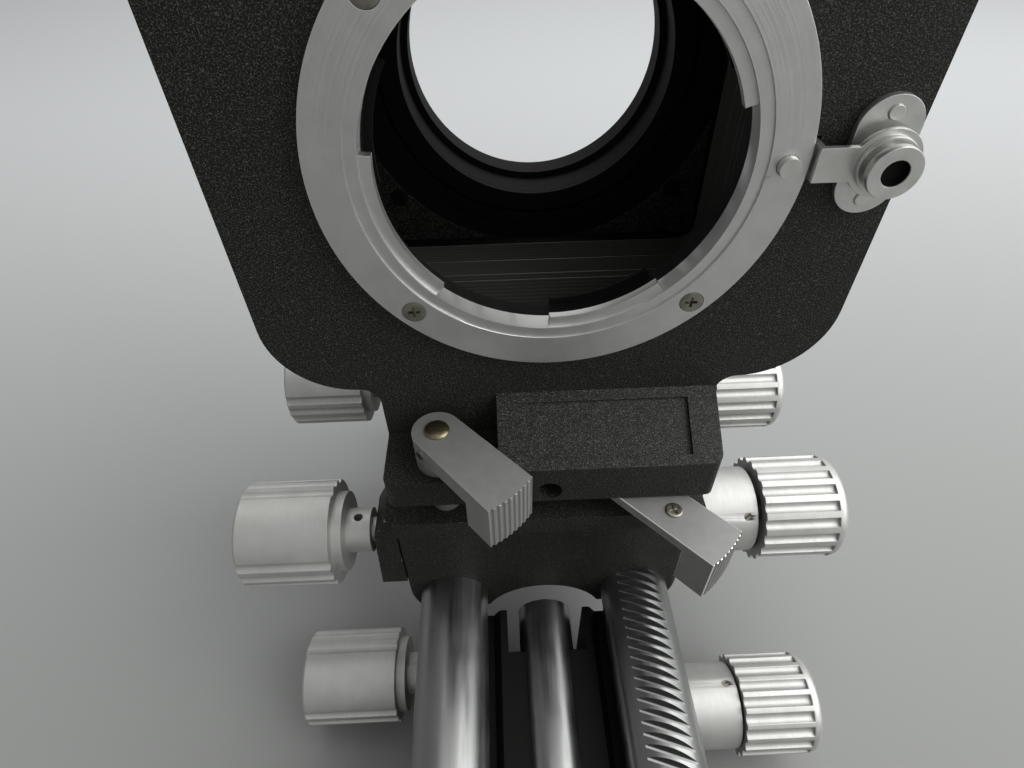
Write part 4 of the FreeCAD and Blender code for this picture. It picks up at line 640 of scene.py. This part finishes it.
def domed(piece, spot, rise):
    """Draws the flat top of an upright bar, with its middle at spot, up into a dome."""
    edit(piece)
    level_faces(1)
    last = 1
    for ring in range(1, DOME_RINGS + 1):
        turn = math.pi / 2 * ring / (DOME_RINGS + 1)
        up = rise * (math.sin(turn) - math.sin(math.pi / 2 * (ring - 1) / (DOME_RINGS + 1)))
        bpy.ops.mesh.extrude_region_move(TRANSFORM_OT_translate={"value": (0, 0, up * MM)})
        size = math.cos(turn) / last
        bpy.ops.transform.resize(value=(size, size, 1), center_override=Vector(spot) * MM)
        last = math.cos(turn)
    alone()
    return piece


top = span("swing_lever")[1].z
rivet = bar("swing_rivet", "Z", RIVET_RADIUS, top - SEATED, top + RIVET_RIM, (*SWING_PIVOT, 0),
            facets=48)
ease(domed(rivet, (*SWING_PIVOT, top), RIVET_RISE), 0, sharp=50)
fitted(rivet, "swing_clamp", "brass", turned_brass)

face = (HUB_RADIUS + HUB_SCREW_RISE, 0, top - HUB_SCREW_DROP)
set_screw = bar("swing_lever_set_screw", "X", HUB_SCREW_RADIUS, HUB_RADIUS - HUB_SCREW_LENGTH,
                face[0], (0, 0, face[2]), facets=32)
ease(set_screw, 0.12)
recess(set_screw, "X", [face], width=0.3, arm=0.6, depth=0.3, turns=(25, 115))
set_screw.data.transform(slide(*SWING_PIVOT, 0) @ Matrix.Rotation(HUB_TURN, 4, "Z"))
fitted(set_screw, "swing_clamp", "screw_steel", screw_steel)

top = span("shift_lever")[1].z
face = (*LEVER_SCREW, top + LEVER_SCREW_RISE)
lever_screw = bar("shift_lever_screw", "Z", LEVER_SCREW_RADIUS, top - SEATED, face[2],
                  (*LEVER_SCREW, 0), facets=48)
ease(lever_screw, 0.25, segments=3)
recess(lever_screw, "Z", [face], width=0.4, arm=0.95, depth=0.3, turns=(20, 110))
fitted(lever_screw, "shift_clamp", "screw_steel", screw_steel)

# Lens mount: a ring turned from brass and satin chromed, with three bayonet lips, held by
# four cross-head screws. Black leaf springs lie behind the lips, and behind them the ring's
# bore is black too.

LENS_HEIGHT = 128
MOUNT_FACE = 30
SCREW_SPREAD = 19.516
STEP_RADIUS = 25.1
STEP_DEPTH = 0.3
BLACK_FROM = 33.3
BLACK_BORE = 24.2

satin_chrome, tree, shader, place = finish("satin_chrome_plate")
# Chrome over a fine turned face: bright, slightly soft, stained every 3 mm or so, with rings
# 0.2 mm apart round the lens axis.
centred = add(tree, "ShaderNodeMapping", Vector=place, Location=(0, 0, -LENS_HEIGHT * MM))
flat = add(tree, "ShaderNodeVectorMath", {"operation": "MULTIPLY"},
           _0=centred.outputs[0], _1=(1, 0, 1))
radius = add(tree, "ShaderNodeVectorMath", {"operation": "LENGTH"}, _0=flat.outputs[0])
rings = add(tree, "ShaderNodeTexNoise", {"noise_dimensions": "1D"},
            W=radius.outputs["Value"], Scale=5200, Detail=3)
stain = add(tree, "ShaderNodeTexNoise", Vector=place, Scale=300, Detail=5)
tone = add(tree, "ShaderNodeMix", {"data_type": "RGBA"},
           _0=stain.outputs["Fac"], _6=colour("#c8c8c6"), _7=colour("#e0e0de"))
tree.links.new(tone.outputs[2], shader.inputs["Base Color"])
gloss = add(tree, "ShaderNodeMapRange", Value=rings.outputs["Fac"],
            From_Min=0.3, From_Max=0.7, To_Min=0.32, To_Max=0.46)
tree.links.new(gloss.outputs[0], shader.inputs["Roughness"])
shader.inputs["Metallic"].default_value = 1

matt_black, tree, shader, place = finish("matt_black_anodising_and_painted_shade")
# Black dye in a surface blasted with 0.4 mm grit: nearly no shine, so stray light dies on it.
# The same black is also painted shade, in the release button's dimple and on the stage block.
grit = add(tree, "ShaderNodeTexNoise", Vector=place, Scale=2400, Detail=1)
gloss = add(tree, "ShaderNodeMapRange", Value=grit.outputs["Fac"], To_Min=0.6, To_Max=0.8)
tree.links.new(gloss.outputs[0], shader.inputs["Roughness"])
shader.inputs["Base Color"].default_value = colour("#0d0e0c")
shader.inputs["Specular IOR Level"].default_value = 0.15


def off_axis(corner):
    """How far a corner is from the lens axis."""
    return math.hypot(corner.x, corner.z - LENS_HEIGHT)


def painted(piece, stock, test):
    """Gives the faces whose corners (mm) all pass the test a further stock."""
    piece.data.materials.append(stock)
    for face in piece.data.polygons:
        if all(test(piece.data.vertices[corner].co / MM) for corner in face.vertices):
            face.material_index = len(piece.data.materials) - 1


mount = cast("lens_mount", 0.12)
carve(mount, bar("step", "Y", STEP_RADIUS, MOUNT_FACE - 0.1, MOUNT_FACE + STEP_DEPTH,
                 (0, 0, LENS_HEIGHT), facets=144))
ease(mount, 0)
edit(mount)
bpy.ops.mesh.bisect(plane_co=(0, BLACK_FROM * MM, 0), plane_no=(0, 1, 0))
alone()
fitted(mount, "head", "satin_chrome", satin_chrome, "lens_mount")
painted(mount, matt_black,
        lambda corner: off_axis(corner) < BLACK_BORE and corner.y > BLACK_FROM - 0.1)
screws = cast("mount_screws", 0.15)
heads = [(x * SCREW_SPREAD, MOUNT_FACE, LENS_HEIGHT + z * SCREW_SPREAD)
         for x in (-1, 1) for z in (-1, 1)]
recess(screws, "Y", heads, width=0.42, arm=0.85, depth=0.6)
fitted(screws, "head", "screw_steel", screw_steel, "mount_screws")
clad(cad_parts["bayonet_springs"], matt_black)

# Lens release: a turned push button on a spring, riveted through an oval plate, with a
# pressed steel bar that draws the lock pin back.

BUTTON_AXIS = (38.5, 128.6)
DIMPLE_RADIUS = 1.62
WIRE = 0.25
WIRE_FACETS = 10
TURNS = 4
TURN_STEPS = 24

plated_steel, tree, shader, place = finish("nickel_plated_steel")
# Nickel over tumbled steel: a bright warm grey whose soft shine clouds every 2 mm.
cloud = add(tree, "ShaderNodeTexNoise", Vector=place, Scale=420, Detail=5)
tone = add(tree, "ShaderNodeMix", {"data_type": "RGBA"},
           _0=cloud.outputs["Fac"], _6=colour("#c6c6c3"), _7=colour("#e4e4e1"))
tree.links.new(tone.outputs[2], shader.inputs["Base Color"])
gloss = add(tree, "ShaderNodeMapRange", Value=cloud.outputs["Fac"], To_Min=0.26, To_Max=0.44)
tree.links.new(gloss.outputs[0], shader.inputs["Roughness"])
shader.inputs["Metallic"].default_value = 0.95

button = fitted(cast("release_button", 0.15), "lens_release", "satin_chrome", plated_steel,
                "release_button")
# Painted shade: the faces in the button's dimple take the matt black, so it reads as a dark hole.
painted(button, matt_black, lambda corner: corner.y < MOUNT_FACE and math.hypot(
    corner.x - BUTTON_AXIS[0], corner.z - BUTTON_AXIS[1]) < DIMPLE_RADIUS)
for node, body, slot, edge in (("release_plate", "head", "satin_chrome", 0.12),
                               ("release_rivets", "head", "screw_steel", 0.12),
                               ("lock_bar", "lens_release", "satin_steel", 0.15)):
    fitted(cast(node, edge), body, slot, plated_steel, node)

low, high = span("release_spring")
coil_radius = (high.x - low.x) / 2 - WIRE
alone()
bpy.ops.mesh.primitive_circle_add(
    vertices=WIRE_FACETS, radius=WIRE * MM, location=(coil_radius * MM, 0, 0))
coil = settle("release_spring_coil")
wind = coil.modifiers.new("wind", "SCREW")
wind.axis = "Y"
wind.iterations = TURNS
wind.screw_offset = (high.y - low.y - 2 * WIRE) / TURNS * MM
wind.steps = wind.render_steps = TURN_STEPS
bpy.ops.object.modifier_apply(modifier=wind.name)
edit(coil)
bpy.ops.mesh.fill_holes(sides=0)
face_out()
bpy.ops.transform.translate(value=(
    (low.x + high.x) / 2 * MM, (low.y + WIRE) * MM, (low.z + high.z) / 2 * MM))
ease(coil, 0)
clad(coil, plated_steel)
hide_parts("release_spring")
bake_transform(coil)

# Bellows: pleated black cloth, folded by hand over card, glued into a metal frame at each
# end. Four screws hold each frame to its plate.

RIDGE_HALF = 35.6
VALLEY_HALF = 29.6
RIDGE_ROUND = 3.0
CLOTH_THICK = 0.16

bellows_cloth, tree, shader, place = finish("rubberised_bellows_cloth")
# Rubberised cotton: dull black with a fine weave, drawn 0.6 mm wide so that it shows.
weave = add(tree, "ShaderNodeTexVoronoi", Vector=place, Scale=1600)
tone = add(tree, "ShaderNodeMix", {"data_type": "RGBA"},
           _0=weave.outputs["Distance"], _6=colour("#191a18"), _7=colour("#2b2c29"))
# Painted highlight: paler cloth along the inner and the outer folds, where the ridges catch light.
centred = add(tree, "ShaderNodeVectorMath", {"operation": "SUBTRACT"},
              _0=place, _1=(0, 0, LENS_HEIGHT * MM))
from_axis = add(tree, "ShaderNodeSeparateXYZ", Vector=add(
    tree, "ShaderNodeVectorMath", {"operation": "ABSOLUTE"}, _0=centred.outputs[0]).outputs[0])
half = add(tree, "ShaderNodeMath", {"operation": "MAXIMUM"},
           _0=from_axis.outputs["X"], _1=from_axis.outputs["Z"])
inner = add(tree, "ShaderNodeMapRange", Value=half.outputs[0], From_Min=VALLEY_HALF * MM,
            From_Max=(VALLEY_HALF + 1) * MM, To_Min=1, To_Max=0)
outer = add(tree, "ShaderNodeMapRange", Value=half.outputs[0], From_Min=(RIDGE_HALF - 1.2) * MM,
            From_Max=(RIDGE_HALF + 0.2) * MM, To_Max=0.8)
fold = add(tree, "ShaderNodeMath", {"operation": "MAXIMUM"},
           _0=inner.outputs[0], _1=outer.outputs[0])
ridge_highlight = add(tree, "ShaderNodeMix", {"data_type": "RGBA"},
             _0=fold.outputs[0], _6=tone.outputs[2], _7=colour("#585954"))
tree.links.new(ridge_highlight.outputs[2], shader.inputs["Base Color"])
relief = add(tree, "ShaderNodeBump", Height=weave.outputs["Distance"],
             Strength=0.3, Distance=0.00008)
tree.links.new(relief.outputs["Normal"], shader.inputs["Normal"])
shader.inputs["Roughness"].default_value = 0.6

for node, body in (("front_bellows_frame", "head"), ("rear_bellows_frame", "rear_standard")):
    fitted(cast(node, 0.25), body, "black_anodised", matt_black, node)
for node, body in (("front_frame_screws", "head"), ("rear_frame_screws", "rear_standard")):
    fitted(cast(node, 0.06, segments=1), body, "screw_steel", screw_steel, node)

# The cloth in four slices: the bodies at its ends, its share of the length and its folds.
BELLOWS_SLICES = (
    ("bellows_swing_folds", "head", "shift", 11.4, 11),
    ("bellows_shift_folds", "shift", "front_standard", 1.8, 2),
    ("bellows_travel_folds", "front_standard", "rails", 4.4, 8),
    ("bellows_rear_folds", "rails", "rear_standard", 5.5, 6),
)
low, high = span("bellows")
front = low.y
scale = (high.y - low.y) / sum(part[3] for part in BELLOWS_SLICES)
for name, ahead, behind, share, folds in BELLOWS_SLICES:
    length = share * scale
    alone()
    bpy.ops.mesh.primitive_plane_add(
        size=2 * VALLEY_HALF * MM, location=(0, front * MM, LENS_HEIGHT * MM),
        rotation=(math.pi / 2, 0, 0))
    cloth = settle(name)
    edit(cloth)
    bpy.ops.mesh.bevel(offset=RIDGE_ROUND * MM, segments=4, affect="VERTICES")
    bpy.ops.mesh.select_all(action="SELECT")
    bpy.ops.mesh.delete(type="ONLY_FACE")
    bpy.ops.mesh.select_all(action="SELECT")
    for step in range(2 * folds):
        grow = RIDGE_HALF / VALLEY_HALF if step % 2 == 0 else VALLEY_HALF / RIDGE_HALF
        bpy.ops.mesh.extrude_edges_move(
            TRANSFORM_OT_translate={"value": (0, length / (2 * folds) * MM, 0)})
        bpy.ops.transform.resize(
            value=(grow, 1, grow), center_override=(0, front * MM, LENS_HEIGHT * MM))
    face_out()
    only(cloth)
    wall = cloth.modifiers.new("cloth", "SOLIDIFY")
    wall.thickness = CLOTH_THICK * MM
    wall.offset = 0
    bpy.ops.object.modifier_apply(modifier=wall.name)
    clad(cloth, bellows_cloth)
    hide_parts("bellows")
    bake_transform(cloth)
    front += length

# Camera mount: a satin chromed ring that turns in the rear plate, with three bayonet lugs.
# Between it and the bellows, stepped black rings keep stray light off the film, and four dark
# screws with cross heads show round them.

CAMERA_BORE = 21.7
INNER_BORE = 25
RING_STEP = 76
INNER_SCREWS = ((-25, 107), (25, 107), (-25, 149), (25, 149))
HEAD_RADIUS = 1.6
HEAD_FACE = 66
HEAD_THICK = 1

camera_side = fitted(cast("camera_mount", 0.15), "camera_ring", "satin_chrome", satin_chrome,
                     "camera_mount")
painted(camera_side, matt_black, lambda corner: off_axis(corner) < CAMERA_BORE or (
    corner.y < RING_STEP and off_axis(corner) < INNER_BORE))
heads = []
for x, z in INNER_SCREWS:
    head = bar("inner_plate_screws", "Y", HEAD_RADIUS, HEAD_FACE, HEAD_FACE + HEAD_THICK,
               (x, 0, z), facets=48)
    ease(head, 0.3, segments=3)
    heads.append(recess(head, "Y", [(x, HEAD_FACE, z)], width=0.4, arm=0.9, depth=0.4,
                        turns=(x + 30, x + 120)))
fitted(joined(heads), "rear_standard", "screw_steel", matt_black)
for node, body in (("rear_baffle", "rear_standard"), ("mount_retainer", "camera_ring")):
    fitted(cast(node, 0.08, segments=1), body, "black_anodised", matt_black, node)
fitted(cast("rear_plate_screws", 0.1, segments=1), "rear_standard", "screw_steel", screw_steel,
       "rear_plate_screws")

# Stage: a cast block on the rails, a foot plate with a rubber pad under it, and the brass
# bush with the thread for a tripod.

moulded_rubber, tree, shader, place = finish("moulded_rubber")
# Moulded rubber: a dull soft black with pebbles 0.8 mm across.
pebble = add(tree, "ShaderNodeTexVoronoi", Vector=place, Scale=1300)
relief = add(tree, "ShaderNodeBump", Height=pebble.outputs["Distance"],
             Strength=0.4, Distance=0.0001)
tree.links.new(relief.outputs["Normal"], shader.inputs["Normal"])
shader.inputs["Base Color"].default_value = colour("#1c1c1d")
shader.inputs["Roughness"].default_value = 0.85

# Painted shade: the stage block is matt black, not crinkle enamel, as it lies in shadow.
for node, slot, stock, edge, segments in (
        ("stage_block", "black_crinkle", matt_black, 0.4, 3),
        ("stage_foot", "black_anodised", matt_black, 0.3, 2),
        ("foot_pad", "rubber", moulded_rubber, 0.15, 1),
        ("foot_screws", "screw_steel", screw_steel, 0.08, 1)):
    fitted(cast(node, edge, segments), "stage", slot, stock, node)
